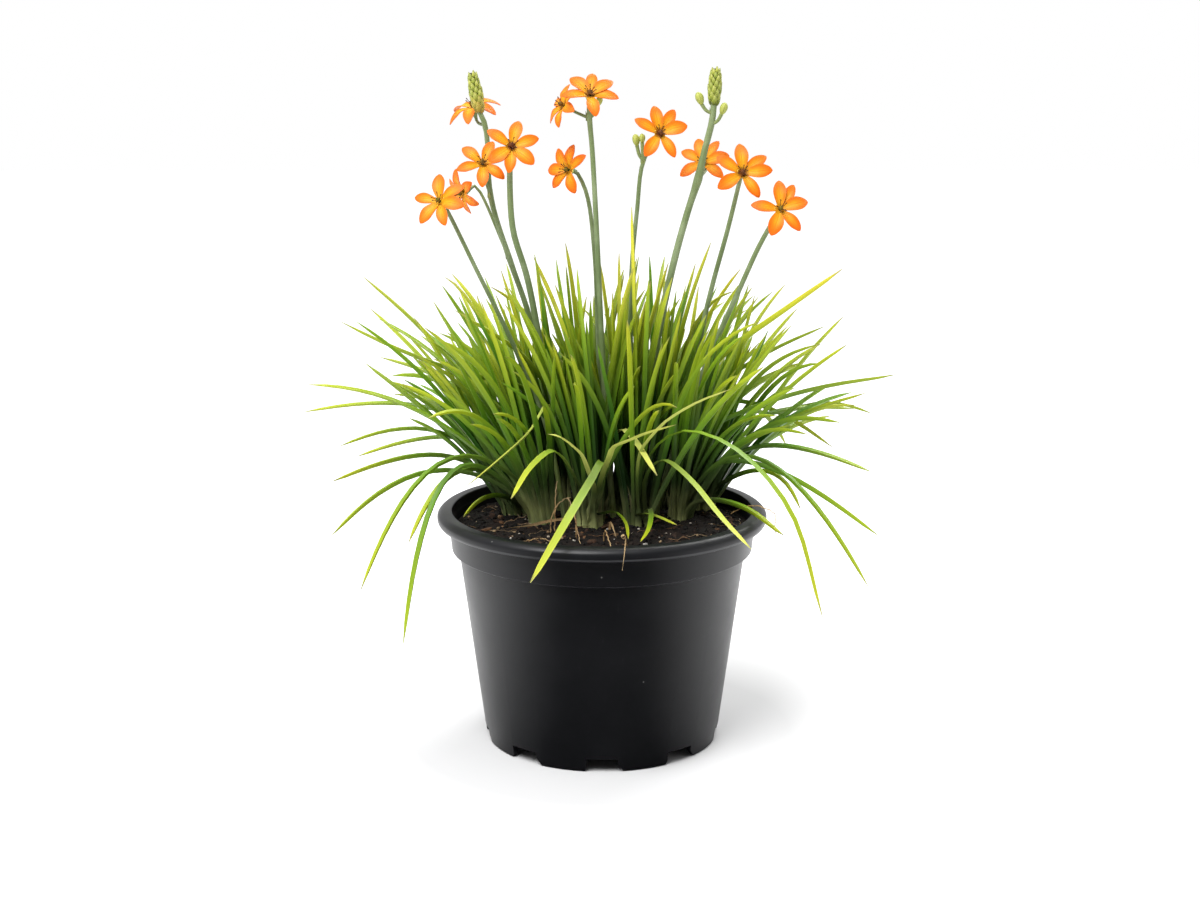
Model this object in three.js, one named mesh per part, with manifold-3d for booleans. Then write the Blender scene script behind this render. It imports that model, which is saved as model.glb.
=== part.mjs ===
// A potted bulbine: a round nursery pot of soil, a clump of narrow keeled leaves in tufts, and nine bare
// stems that hold orange six-petalled flowers and two spikes of closed buds.
// Millimetres, +Z up. The origin is the centre of the pot's base, and -Y is the side that was pictured.

import * as THREE from 'three';
import { mergeVertices } from 'three/addons/utils/BufferGeometryUtils.js';
import Module from 'manifold-3d';

const wasm = await Module();
wasm.setup();

// Pot

const POT_SIDES = 36;
const RIM_RADIUS = 85;
const POT_HEIGHT = 121;
const BASE_RADIUS = 60.8;
const SHOULDER_RADIUS = 73.9;
const SHOULDER_HEIGHT = 99;
const FLOOR_UNDERSIDE = 7.5;
const FLOOR_TOP = 9.3;
const FOOT_INNER_RADIUS = 58.4;
const NOTCH_COUNT = 9;
const NOTCH_HALF_WIDTH = 7.75;
const NOTCH_HEIGHT = 6.5;
const DRAIN_RADIUS = 3.2;
const DRAIN_CIRCLE = 48;

// Soil

const SOIL_CLEARANCE = 0.3;
const SOIL_LEVEL = 112.5;
const SOIL_RINGS = [26, 56];
const SOIL_EDGE_RADIUS = 76.7;
const SOIL_SEED = 7;

// Leaves

const LEAF_SEED = 20;
const LEAF_HALF_WIDTH = 1.45;
const LEAF_KEEL = 1.4;
const LEAF_GAP = 3.25;
const TUFT_GAP = 1.7;
const CLUMP_HEART = [4, 26];
const FRONT_LEAN = 0.4;
const SIDE_SPREAD = 100;
const CROWN_RADIUS = 8.2;
const CROWN_BOTTOM = 105;
const CROWN_TOP = 115.6;
const ROOT_SPREAD = 6;
const HOLE_FLOOR = CROWN_BOTTOM - SOIL_CLEARANCE;
const LEAF_ROOT_HEIGHT = 109;
const LEAF_START_HEIGHT = 114;
const LEAVES_PER_TUFT = 15;
const TRIES_PER_LEAF = 90;
const FILLER_TIP_LIMIT = [146, 106];
const RIM_REACH = 88;
const ABOVE_RIM = 123.4;
const SOIL_REACH = 74;
const ABOVE_SOIL = 114.9;
const VIEWER = [0, -934, 354];

// Centres of the tufts on the soil
const TUFTS = [
  [-45, 22], [-31, 3], [-6, -3], [19, -2], [40, 10], [53, 32],
  [30, 34], [6, 22], [-22, 30], [-6, 50], [22, 56], [-38, 46],
];

// The long leaves that shape the outline, one to a row: tuft, tip x, y, z, how far along to the tip the arch
// peaks, how high above the soil its control point is, and how far it bows to one side
const ARCHED_LEAVES = [
  [1, -123, 25, 237, 0.05, 66, -12],
  [2, -148, -10, 187, 0.41, 73, 0],
  [12, -154, 10, 169, 0.16, 73, 0],
  [1, -120, 0, 196, 0.3, 44, 0],
  [12, -120, 62, 189, 0.1, 65, 0],
  [1, -137, -15, 138, 0.19, 55, 0],
  [2, -135, -35, 115, 0.49, 63, 0],
  [12, -130, 30, 141, 0.19, 56, 0],
  [2, -118, -60, 94, 0.57, 91, 0],
  [2, -95, -85, 75, 0.7, 96, -4],
  [1, -94, -60, 118, 0.57, 61, 0],
  [9, -81, 25, 237, 0.7, 118, 0],
  [10, -59, 50, 229, 0.1, 98, 0],
  [8, -35, 20, 248, 0.5, 100, 0],
  [10, -19, 40, 253, 0.1, 99, 0],
  [1, -71, -10, 118, 0.6, 26, 0],
  [7, 117, 35, 210, 0.06, 68, 0],
  [11, 110, 60, 187, 0.55, 67, 0],
  [6, 136, 10, 179, 0.12, 45, 0],
  [6, 135, 45, 164, 0.1, 64, 0],
  [11, 124, 45, 143, 0.23, 93, 0],
  [6, 137, -10, 142, 0.1, 57, 0],
  [5, 138, -35, 115, 0.15, 66, 0],
  [5, 130, -60, 96, 0.36, 86, 0],
  [6, 100, -25, 126, 0.74, 50, 0],
  [3, 37, -35, 180, 0.6, 80, 0],
  [7, 84, 50, 199, 0.45, 62, 0],
  [7, 68, 30, 229, 0.16, 111, 0],
  [11, 73, 45, 239, 0.54, 100, 0],
  [5, 61, 20, 218, 0.45, 80, 0],
  [7, 56, 25, 255, 0.1, 85, -4],
  [4, 15, 5, 275, 0.1, 90, 0],
  [8, 34, 20, 245, 0.5, 90, 0],
  [10, -40, 112, 140, 0.5, 95, 0],
  [11, 12, 108, 158, 0.45, 92, 0],
  [11, 58, 104, 125, 0.5, 90, 0],
  [12, -92, 96, 150, 0.4, 80, 0],
  [6, 104, 92, 134, 0.4, 84, 0],
];

// Leaves with a kink or a double bend: tuft, then the points that they pass after their root
const BENT_LEAVES = [
  [9, [-22, 24, 155], [-36, 22, 178], [-74, 25, 188], [-105, 28, 199], [-136, 30, 213]],
  [5, [43, 9, 145], [54, 10, 160], [84, 12, 174], [115, 16, 182], [153, 20, 187]],
  [9, [-23, 26, 158], [-29, 20, 182], [-43, 14, 201], [-75, 10, 222]],
  [3, [-1, -12, 130], [0, -30, 152], [-5, -46, 147], [-17, -80, 134], [-33, -112, 113]],
  [3, [-13, -12, 138], [-24, -28, 157], [-35, -42, 152], [-44, -60, 140]],
  [8, [5, 5, 150], [10, -14, 165], [17, -32, 162], [27, -45, 148]],
  [4, [22, -10, 138], [30, -22, 151], [43, -42, 146], [58, -62, 131], [71, -80, 120]],
  [2, [-27, 0, 154], [-28, -6, 176], [-36, -22, 166], [-51, -34, 154], [-68, -42, 141]],
  [4, [18, -8, 119], [22, -13, 121], [29, -17, 120], [38, -20, 116.5]],
  [3, [0, -9, 120], [7, -18, 123], [12, -30, 120], [13, -42, 115]],
  [4, [24, -8, 122], [25, -17, 121.5], [23, -34, 117.5], [19, -47, 115]],
  [4, [24, -10, 150], [40, -32, 168], [65, -52, 163], [90, -72, 137], [105, -85, 88]],
  [5, [47, 4, 122], [57, -6, 127], [74, -26, 126.5], [90, -42, 117]],
  [7, [34, 30, 158], [47, 24, 181], [66, 19, 201], [93, 13, 222], [122, 10, 243]],
];

// Stems: the radius at the root and at the top, then the points from the soil up to the flower's stalk
const STEMS = [
  { radius: [1.6, 1.2], path: [[-20, 12], [-25, 12, 145], [-34, 11, 177], [-48, 9, 210], [-63, 6, 242]] },
  { radius: [2.1, 1.4], path: [[-9, 34], [-18, 33, 150], [-31, 32, 188], [-39, 29, 220], [-48, 27, 247],
    [-57, 24, 279], [-58, 22, 303], [-59.1, 21.5, 314.5], [-61.9, 21, 321.4]] },
  { radius: [2.3, 1.7], path: [[-9, 17], [-19, 15, 150], [-29, 13, 190], [-38, 8, 239], [-45, 4, 265]] },
  { radius: [1.7, 1.2], path: [[3, 40], [0, 39, 150], [-2, 38, 202], [-4, 33, 250], [-8, 30, 280]] },
  { radius: [2.0, 1.4], path: [[6, 9], [3, 9, 150], [0, 10, 203], [-3, 13, 268], [-5, 14, 304],
    [-6.3, 14, 318.5]] },
  { radius: [1.7, 1.2], path: [[16, 34], [16, 32, 160], [15, 28, 233], [18, 22, 272], [21, 18, 297]] },
  { radius: [2.5, 1.9], path: [[20, 18], [22, 18, 150], [28, 18, 202], [37, 19, 246], [44, 20, 272],
    [49, 20, 288], [52, 20, 302], [55.3, 20, 315], [56.1, 20, 320.4], [56.4, 20, 325.2]] },
  { radius: [1.9, 1.3], path: [[41.5, 25], [46, 25, 165], [52, 23, 210], [57, 20, 234], [64, 11, 264]] },
  { radius: [2.0, 1.4], path: [[28.5, 15.5], [38, 13, 150], [57, 8, 203], [69, 4, 232], [79, 0, 256]] },
];

// Flowers: the stem that holds each, its middle, the way that it faces, the angles of its six petals round
// that axis in degrees, the length of a petal, and the stem's point that a side flower's stalk leaves from
const FLOWERS = [
  { stem: 1, at: [-81, 0, 278], facing: [-0.35, -0.8, 0.48],
    petals: [101, 40, -10, 175, 238, 295], size: 14.6 },
  { stem: 2, at: [-60, 10, 296], facing: [0.05, -0.84, 0.54],
    petals: [140, 70, 18, -38, -90, 197], size: 13.6, from: 5 },
  { stem: 2, at: [-71, 26, 281], facing: [-0.75, -0.55, -0.35],
    petals: [90, 150, 210, 270, 330, 30], size: 12.5, from: 4 },
  { stem: 2, at: [-66, 33, 323], facing: [-0.25, -0.3, 0.92],
    petals: [175, 115, 55, 5, -60, -120], size: 14.2, from: 7 },
  { stem: 3, at: [-45, 0, 305], facing: [0.15, -0.86, 0.48],
    petals: [74, 14, -46, -98, 218, 142], size: 14.4 },
  { stem: 4, at: [-17, 25, 292], facing: [-0.6, -0.78, 0.15],
    petals: [130, 35, -60, 225, 180, 85], size: 13 },
  { stem: 5, at: [-6, 9, 330], facing: [0.05, -0.72, 0.69],
    petals: [128, 82, 36, -6, -84, 185], size: 14.4 },
  { stem: 5, at: [-19, 17, 324.5], facing: [-0.8, -0.4, 0.45],
    petals: [110, 170, 230, 290, 350, 50], size: 12.4, from: 5 },
  { stem: 6, at: [29, 12, 311], facing: [0.12, -0.93, 0.34],
    petals: [101, 55, 18, -58, -125, 150], size: 14.4 },
  { stem: 7, at: [52.5, 37, 295], facing: [-0.25, -0.85, 0.46],
    petals: [107, 152, 214, -34, 14, 60], size: 13.8, from: 5 },
  { stem: 8, at: [70, 2, 292], facing: [0.05, -0.93, 0.36],
    petals: [91, 38, 2, -60, 215, 149], size: 15 },
  { stem: 9, at: [88, -10, 275], facing: [0.1, -0.9, 0.42],
    petals: [90, 56, 18, -51, 252, 172], size: 14.6 },
];

// How far a flower's cup reaches behind the flower's middle
const FLOWER_BACK = 2.6;

// Closed side buds: stem, the stem's point that the stalk leaves from, the bud's middle, and its half length
const SIDE_BUDS = [
  { stem: 7, from: 8, at: [49.2, 18, 327.9], half: 3.3 },
  { stem: 7, from: 7, at: [61.1, 18, 322.9], half: 3.1 },
  { stem: 6, from: 4, at: [17.2, 15, 307.4], half: 3 },
  { stem: 6, from: 4, at: [20.2, 12.5, 308.4], half: 2.4 },
  { stem: 5, from: 5, at: [-1.5, 15, 326.8], half: 2.6 },
];

// Spikes of closed buds: foot, tip, and radius at the widest place
const SPIKES = [
  { foot: [-62, 21, 321.8], tip: [-65.5, 20, 342], radius: 4.2 },
  { foot: [56.4, 20, 325.6], tip: [57.3, 20, 344], radius: 4.3 },
];

// Withered leaves: the points from the root in the soil
const DRY_LEAVES = [
  [[-17, -9], [-17, -9, 116], [-24, -14, 117.5], [-36, -18, 116], [-51, -23, 115.3]],
  [[4, -16], [4, -16, 116], [5, -26, 118], [7, -40, 115.5]],
  [[12, -62], [12, -62, 117], [11.5, -74, 123.6], [11, -82, 124.2], [10.5, -87.5, 120], [9.5, -88.5, 112]],
];
const DRY_HALF_WIDTH = 0.8;

const material = (color, roughness) => new THREE.MeshStandardMaterial({ color, roughness, metalness: 0 });
const POT_FINISH = () => material(0x1c1d20, 0.45);
const SOIL_FINISH = () => material(0x1a120d, 0.95);
const LEAF_FINISH = () => material(0x5f8f1e, 0.5);
const STEM_FINISH = () => material(0x7d9b72, 0.6);
const PETAL_FINISH = () => material(0xf58a12, 0.55);
const HEART_FINISH = () => material(0x5a4a10, 0.7);
const BUD_FINISH = () => material(0x9aa53a, 0.55);
const DRY_FINISH = () => material(0xb99a5c, 0.8);

// Seeded random draws

let state = 0;
function seed(value) {
  state = value;
}
function draw() {
  state = (state * 1664525 + 1013904223) % 4294967296;
  return state / 4294967296;
}
function drawInDisc() {
  let x = 1;
  let y = 1;
  while (x * x + y * y > 1) {
    x = 2 * draw() - 1;
    y = 2 * draw() - 1;
  }
  return [x, y];
}

// Solids

const vec = (p) => new THREE.Vector3(p[0], p[1], p[2]);

function toSolid(geometry) {
  const bare = geometry.clone();
  bare.deleteAttribute('normal');
  bare.deleteAttribute('uv');
  const welded = mergeVertices(bare, 1e-4);
  return new wasm.Manifold(new wasm.Mesh({
    numProp: 3,
    vertProperties: new Float32Array(welded.attributes.position.array),
    triVerts: new Uint32Array(welded.index.array),
  }));
}

function toMesh(name, solid, finish) {
  const { vertProperties, triVerts } = solid.getMesh();
  const geometry = new THREE.BufferGeometry();
  geometry.setAttribute('position', new THREE.BufferAttribute(new Float32Array(vertProperties), 3));
  geometry.setIndex(new THREE.BufferAttribute(new Uint32Array(triVerts), 1));
  geometry.computeVertexNormals();
  const mesh = new THREE.Mesh(geometry, finish);
  mesh.name = name;
  return mesh;
}

function fuse(solids) {
  let whole = solids[0];
  for (const solid of solids.slice(1)) whole = whole.add(solid);
  return whole;
}

// A closed solid through rings of points, all of one count, with a flat first end and a flat or pointed last
function loft(rings, point) {
  const count = rings[0].length;
  const points = rings.flat();
  const faces = [];
  for (let r = 0; r + 1 < rings.length; r += 1) {
    for (let k = 0; k < count; k += 1) {
      const a = r * count + k;
      const b = r * count + ((k + 1) % count);
      faces.push([a, b, b + count], [a, b + count, a + count]);
    }
  }
  for (let k = 1; k + 1 < count; k += 1) faces.push([0, k + 1, k]);
  const last = (rings.length - 1) * count;
  if (point) {
    points.push(point);
    const tip = points.length - 1;
    for (let k = 0; k < count; k += 1) faces.push([last + k, last + ((k + 1) % count), tip]);
  } else {
    for (let k = 1; k + 1 < count; k += 1) faces.push([last, last + k, last + k + 1]);
  }
  let volume = 0;
  for (const [a, b, c] of faces) volume += points[a].dot(points[b].clone().cross(points[c]));
  const geometry = new THREE.BufferGeometry();
  const numbers = points.flatMap((p) => [p.x, p.y, p.z]);
  geometry.setAttribute('position', new THREE.Float32BufferAttribute(numbers, 3));
  geometry.setIndex((volume < 0 ? faces.map(([a, b, c]) => [a, c, b]) : faces).flat());
  return toSolid(geometry);
}

function regularRing(centre, u, v, radius, sides) {
  const ring = [];
  for (let k = 0; k < sides; k += 1) {
    const turn = (2 * Math.PI * k) / sides;
    const out = u.clone().multiplyScalar(Math.cos(turn)).addScaledVector(v, Math.sin(turn));
    ring.push(centre.clone().addScaledVector(out, radius));
  }
  return ring;
}

// Two unit vectors square to a direction
function squareTo(direction) {
  const other = Math.abs(direction.z) > 0.9 ? new THREE.Vector3(0, 1, 0) : new THREE.Vector3(0, 0, 1);
  const u = other.clone().cross(direction).normalize();
  return [u, direction.clone().cross(u)];
}

function tangents(points) {
  const last = points.length - 1;
  const at = (i) => points[Math.min(Math.max(i, 0), last)];
  return points.map((_, i) => at(i + 1).clone().sub(at(i - 1)).normalize());
}

// A round tube whose radius changes evenly between its ends
function tube(points, radii, sides, pointed) {
  const along = tangents(points);
  const rings = [];
  const [u0] = squareTo(along[0]);
  const last = points.length - 1;
  for (let i = 0; i <= last; i += 1) {
    if (pointed && i === last) break;
    const v = along[i].clone().cross(u0).normalize();
    const u = v.clone().cross(along[i]);
    const radius = radii[0] + ((radii[1] - radii[0]) * i) / last;
    rings.push(regularRing(points[i], u, v, radius, sides));
  }
  return loft(rings, pointed ? points[last] : null);
}

function prism(x, y, radius, sides, bottom, top) {
  const up = new THREE.Vector3(0, 0, 1);
  const [u, v] = squareTo(up);
  return loft([
    regularRing(new THREE.Vector3(x, y, bottom), u, v, radius, sides),
    regularRing(new THREE.Vector3(x, y, top), u, v, radius, sides),
  ]);
}

function lathe(profile) {
  const outline = [...profile, profile[0]].map(([r, z]) => new THREE.Vector2(r, z));
  const geometry = new THREE.LatheGeometry(outline, POT_SIDES);
  geometry.rotateX(Math.PI / 2);
  let solid = toSolid(geometry);
  if (solid.volume() < 0) {
    const order = geometry.index.array;
    for (let i = 0; i < order.length; i += 3) [order[i + 1], order[i + 2]] = [order[i + 2], order[i + 1]];
    solid = toSolid(geometry);
  }
  return solid;
}

// Pot

function buildPot() {
  let pot = lathe([
    [0, FLOOR_TOP], [0, FLOOR_UNDERSIDE], [FOOT_INNER_RADIUS, FLOOR_UNDERSIDE], [FOOT_INNER_RADIUS, 0],
    [BASE_RADIUS, 0], [SHOULDER_RADIUS, SHOULDER_HEIGHT], [77.6, 100.5], [78.9, 113], [84.2, 114.6],
    [RIM_RADIUS, 116.2], [RIM_RADIUS, 118.8], [82.8, POT_HEIGHT], [77.4, POT_HEIGHT],
    [76.9, 102], [72.4, 98.6], [60.2, FLOOR_TOP],
  ]);
  const outline = [
    [-9.2, -1], [-NOTCH_HALF_WIDTH, 1.6], [-NOTCH_HALF_WIDTH, NOTCH_HEIGHT], [NOTCH_HALF_WIDTH, NOTCH_HEIGHT],
    [NOTCH_HALF_WIDTH, 3.8], [11.4, -1],
  ];
  for (let k = 0; k < NOTCH_COUNT; k += 1) {
    const turn = -Math.PI / 2 + (2 * Math.PI * k) / NOTCH_COUNT;
    const out = new THREE.Vector3(Math.cos(turn), Math.sin(turn), 0);
    const across = new THREE.Vector3(-out.y, out.x, 0);
    const face = (distance) => outline.map(([u, z]) => across.clone().multiplyScalar(u)
      .addScaledVector(out, distance).add(new THREE.Vector3(0, 0, z)));
    pot = pot.subtract(loft([face(FOOT_INNER_RADIUS - 4), face(BASE_RADIUS + 3)]));
    const drain = out.clone().multiplyScalar(DRAIN_CIRCLE);
    pot = pot.subtract(prism(drain.x, drain.y, DRAIN_RADIUS, 6, FLOOR_UNDERSIDE - 1, FLOOR_TOP + 1));
  }
  return pot;
}

// Soil

function buildSoil(holes) {
  seed(SOIL_SEED);
  const rings = [];
  const ringAt = (radius, heightOf) => {
    const ring = [];
    for (let k = 0; k < POT_SIDES; k += 1) {
      const turn = (2 * Math.PI * k) / POT_SIDES;
      ring.push(new THREE.Vector3(radius * Math.sin(turn), radius * Math.cos(turn), heightOf()));
    }
    return ring;
  };
  const outline = [[59.8, FLOOR_TOP + 0.3], [72, 98.8], [76.5, 102.2], [SOIL_EDGE_RADIUS, 110.8]];
  for (const [radius, height] of outline) rings.push(ringAt(radius, () => height));
  for (const radius of [...SOIL_RINGS].reverse()) {
    rings.push(ringAt(radius, () => SOIL_LEVEL - 1 + 2 * draw()));
  }
  let soil = loft(rings, new THREE.Vector3(0, 0, SOIL_LEVEL));
  for (const hole of holes) {
    soil = soil.subtract(prism(hole.x, hole.y, hole.radius + SOIL_CLEARANCE, hole.sides, HOLE_FLOOR, 130));
  }
  return soil;
}

// Leaves

// Points along an arched leaf, from inside its crown to its tip, drawn up towards the peak between them
function arch(root, peak, tip, spans) {
  const points = [new THREE.Vector3(root.x, root.y, LEAF_ROOT_HEIGHT)];
  for (let i = 0; i <= spans; i += 1) {
    const t = i / spans;
    const s = 1 - t;
    points.push(new THREE.Vector3(
      s * s * root.x + 2 * s * t * peak.x + t * t * tip.x,
      s * s * root.y + 2 * s * t * peak.y + t * t * tip.y,
      s * s * root.z + 2 * s * t * peak.z + t * t * tip.z,
    ));
  }
  return points;
}

// Closest distance between two straight stretches
function stretchDistance(p, q, r, s) {
  const d1 = q.clone().sub(p);
  const d2 = s.clone().sub(r);
  const w = p.clone().sub(r);
  const a = d1.dot(d1);
  const e = d2.dot(d2);
  const f = d2.dot(w);
  const c = d1.dot(w);
  const b = d1.dot(d2);
  const clamp = (x) => Math.min(1, Math.max(0, x));
  const spread = a * e - b * b;
  let u = spread > 1e-9 ? clamp((b * f - c * e) / spread) : 0;
  let v = (b * u + f) / e;
  if (v < 0) {
    v = 0;
    u = clamp(-c / a);
  } else if (v > 1) {
    v = 1;
    u = clamp((b - c) / a);
  }
  return w.addScaledVector(d1, u).addScaledVector(d2, -v).length();
}

// True where a line of points stays the given distance from every line of another owner
function isClear(points, owner, placed) {
  const box = new THREE.Box3().setFromPoints(points);
  for (const other of placed) {
    const reach = other.owner === owner ? TUFT_GAP : LEAF_GAP / 2 + other.keep;
    if (!box.clone().expandByScalar(reach).intersectsBox(other.box)) continue;
    const line = other.points;
    for (let i = 2; i < points.length; i += 1) {
      for (let k = 2; k < line.length; k += 1) {
        if (stretchDistance(points[i - 1], points[i], line[k - 1], line[k]) < reach) return false;
      }
    }
  }
  return true;
}

// True where a leaf misses the soil and the pot's rim
function missesPot(points) {
  for (let i = 2; i < points.length; i += 1) {
    for (const share of [0.34, 0.67, 1]) {
      const p = points[i - 1].clone().lerp(points[i], share);
      const radius = Math.hypot(p.x, p.y);
      if (radius < RIM_REACH && p.z < (radius < SOIL_REACH ? ABOVE_SOIL : ABOVE_RIM)) return false;
    }
  }
  return true;
}

function keep(placed, owner, points, distance) {
  placed.push({ owner, points, keep: distance, box: new THREE.Box3().setFromPoints(points) });
}

// A blade of three-sided section, wide across and keeled beneath, that narrows to its tip
function blade(points, halfWidth, keel, roll) {
  const along = tangents(points);
  const last = points.length - 1;
  const run = points[last].clone().sub(points[0]);
  const across = new THREE.Vector3(-run.y, run.x, 0).normalize();
  const rings = [];
  for (let i = 0; i < last; i += 1) {
    const side = across.clone().addScaledVector(along[i], -across.dot(along[i])).normalize();
    const face = side.clone().cross(along[i]);
    const t = i / last;
    const width = halfWidth * (t < 0.5 ? 0.86 + 0.28 * t : 1 - 1.15 * (t - 0.5));
    const depth = keel * (1 - 0.35 * t);
    const turnedSide = side.clone().multiplyScalar(roll[0]).addScaledVector(face, roll[1]);
    const turnedFace = face.clone().multiplyScalar(roll[0]).addScaledVector(side, -roll[1]);
    rings.push([
      points[i].clone().addScaledVector(turnedSide, width),
      points[i].clone().addScaledVector(turnedSide, -width),
      points[i].clone().addScaledVector(turnedFace, depth),
    ]);
  }
  return loft(rings, points[last]);
}

// The turn of a blade about its own line, as a cosine and a sine
function drawRoll(most) {
  const sine = most * (2 * draw() - 1);
  return [Math.sqrt(1 - sine * sine), sine];
}

// Tries that move a long leaf's root and slide its tip along the line of sight until the leaf is clear
function placeLong(tuft, placed, shape) {
  const [cx, cy] = TUFTS[tuft - 1];
  let points = null;
  for (let attempt = 0; attempt < TRIES_PER_LEAF; attempt += 1) {
    const [u, v] = drawInDisc();
    const slide = 1 + (attempt % 2 ? 1 : -1) * attempt * 0.0006;
    const root = new THREE.Vector3(cx + ROOT_SPREAD * u, cy + ROOT_SPREAD * v, LEAF_START_HEIGHT);
    points = shape(root, (p) => vec(p.map((value, axis) => VIEWER[axis] + (value - VIEWER[axis]) * slide)));
    if (missesPot(points) && isClear(points, tuft, placed)) break;
  }
  keep(placed, tuft, points, LEAF_GAP / 2);
  return blade(points, LEAF_HALF_WIDTH, LEAF_KEEL, drawRoll(0.4));
}

function archedLeaf(row, placed) {
  const [tuft, x, y, z, share, height, bow] = row;
  return placeLong(tuft, placed, (root, seen) => {
    const tip = seen([x, y, z]);
    const run = new THREE.Vector2(tip.x - root.x, tip.y - root.y);
    const length = Math.max(run.length(), 1);
    const peak = new THREE.Vector3(
      root.x + share * run.x - (bow * run.y) / length,
      root.y + share * run.y + (bow * run.x) / length,
      LEAF_START_HEIGHT - 2 + height,
    );
    return arch(root, peak, tip, 4);
  });
}

function bentLeaf(row, placed) {
  const [tuft, ...bends] = row;
  return placeLong(tuft, placed, (root, seen) => [
    new THREE.Vector3(root.x, root.y, LEAF_ROOT_HEIGHT), root, ...bends.map(seen),
  ]);
}

// A leaf drawn by the seeded rule: upright near the clump's heart and leaning out towards its edge, but less
// so in front, where the long leaves hang
function fillerLeaf(tuft, placed) {
  const [cx, cy] = TUFTS[tuft - 1];
  for (let attempt = 0; attempt < TRIES_PER_LEAF; attempt += 1) {
    const [u, v] = drawInDisc();
    const [p, q] = drawInDisc();
    const root = new THREE.Vector3(cx + ROOT_SPREAD * u, cy + ROOT_SPREAD * v, LEAF_START_HEIGHT);
    const outX = (cx - CLUMP_HEART[0]) / SIDE_SPREAD + 0.34 * u + 0.3 * p;
    const fromHeart = (cy - CLUMP_HEART[1]) / 52;
    const outY = fromHeart * (fromHeart < 0 ? FRONT_LEAN : 1) + 0.34 * v + 0.3 * q;
    const spread = Math.max(0.01, Math.sqrt(outX * outX + outY * outY));
    const lean = Math.min(1, spread);
    const length = 88 + 60 * draw();
    const reach = length * (0.06 + 0.72 * lean);
    const peakShare = 0.12 + 0.36 * draw();
    const height = length * (0.66 - 0.1 * lean);
    const tipHeight = length * (0.96 - lean * (0.2 + 0.5 * draw()));
    const roll = drawRoll(0.75);
    const aim = [outX / spread, outY / spread];
    const along = (share, rise) => new THREE.Vector3(
      root.x + share * reach * aim[0], root.y + share * reach * aim[1], LEAF_START_HEIGHT + rise);
    const peak = along(peakShare, height);
    const tip = along(1, tipHeight);
    const points = arch(root, peak, tip, 4);
    const within = Math.abs(tip.x) < FILLER_TIP_LIMIT[0] && Math.abs(tip.y) < FILLER_TIP_LIMIT[1];
    if (within && missesPot(points) && isClear(points, tuft, placed)) {
      keep(placed, tuft, points, LEAF_GAP / 2);
      return blade(points, LEAF_HALF_WIDTH, LEAF_KEEL, roll);
    }
  }
  return null;
}

function crown(x, y) {
  const up = new THREE.Vector3(0, 0, 1);
  const [u, v] = squareTo(up);
  const ring = (height, radius) => regularRing(new THREE.Vector3(x, y, height), u, v, radius, 8);
  return loft([ring(CROWN_BOTTOM, CROWN_RADIUS), ring(CROWN_TOP, CROWN_RADIUS)]);
}

function buildTufts(placed) {
  seed(LEAF_SEED);
  const blades = TUFTS.map(() => []);
  for (const row of BENT_LEAVES) blades[row[0] - 1].push(bentLeaf(row, placed));
  for (const row of ARCHED_LEAVES) blades[row[0] - 1].push(archedLeaf(row, placed));
  for (let i = 0; i < LEAVES_PER_TUFT; i += 1) {
    for (let tuft = 1; tuft <= TUFTS.length; tuft += 1) {
      const leaf = fillerLeaf(tuft, placed);
      if (leaf) blades[tuft - 1].push(leaf);
    }
  }
  return TUFTS.map(([x, y], i) => fuse([crown(x, y), ...blades[i]]));
}

// Stems, flowers and buds

function smooth(points, count) {
  return new THREE.CatmullRomCurve3(points, false, 'centripetal').getPoints(count);
}

const flowerAxis = (flower) => vec(flower.facing).normalize();

// The end of a flower's stalk, behind its cup
function stalkEnd(flower) {
  return vec(flower.at).addScaledVector(flowerAxis(flower), -FLOWER_BACK - 0.3);
}

function stemPoints(number) {
  const { path } = STEMS[number - 1];
  const points = path.map(([x, y, z = LEAF_START_HEIGHT]) => new THREE.Vector3(x, y, z));
  const top = FLOWERS.find((flower) => flower.stem === number && !flower.from);
  if (top) {
    const end = stalkEnd(top);
    points.push(end.clone().addScaledVector(flowerAxis(top), -3), end);
  }
  return points;
}

function buildStem(number, placed) {
  const { radius } = STEMS[number - 1];
  const points = stemPoints(number);
  const line = [new THREE.Vector3(points[0].x, points[0].y, CROWN_BOTTOM), ...smooth(points, points.length)];
  keep(placed, `stem_${number}`, line, radius[0] + 0.9);
  const pieces = [tube(line, radius, 5, false)];
  for (const flower of FLOWERS.filter((one) => one.stem === number)) {
    const end = stalkEnd(flower);
    const axis = flowerAxis(flower);
    if (flower.from) {
      const start = points[flower.from];
      const middle = end.clone().addScaledVector(axis, -4.5);
      pieces.push(tube([start, middle, end], [0.9, 0.8], 4, false));
    }
    pieces.push(tube([end.clone().addScaledVector(axis, -3.2), end], [0.8, 1.7], 5, false));
  }
  for (const bud of SIDE_BUDS.filter((one) => one.stem === number)) {
    const start = points[bud.from];
    const middle = vec(bud.at);
    const axis = middle.clone().sub(start).normalize().add(new THREE.Vector3(0, 0, 1)).normalize();
    const [u, v] = squareTo(axis);
    const at = (share) => middle.clone().addScaledVector(axis, bud.half * share);
    pieces.push(tube([start, at(-0.9)], [0.9, 0.8], 4, false));
    const belly = bud.half * 0.62;
    pieces.push(loft([
      regularRing(at(-1), u, v, belly * 0.4, 5), regularRing(at(0), u, v, belly, 5),
    ], at(1.1)));
  }
  return fuse(pieces);
}

function flowerFrame(flower) {
  const axis = flowerAxis(flower);
  const up = new THREE.Vector3(0, 0, 1).addScaledVector(axis, -axis.z).normalize();
  return { axis, up, right: up.clone().cross(axis) };
}

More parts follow.
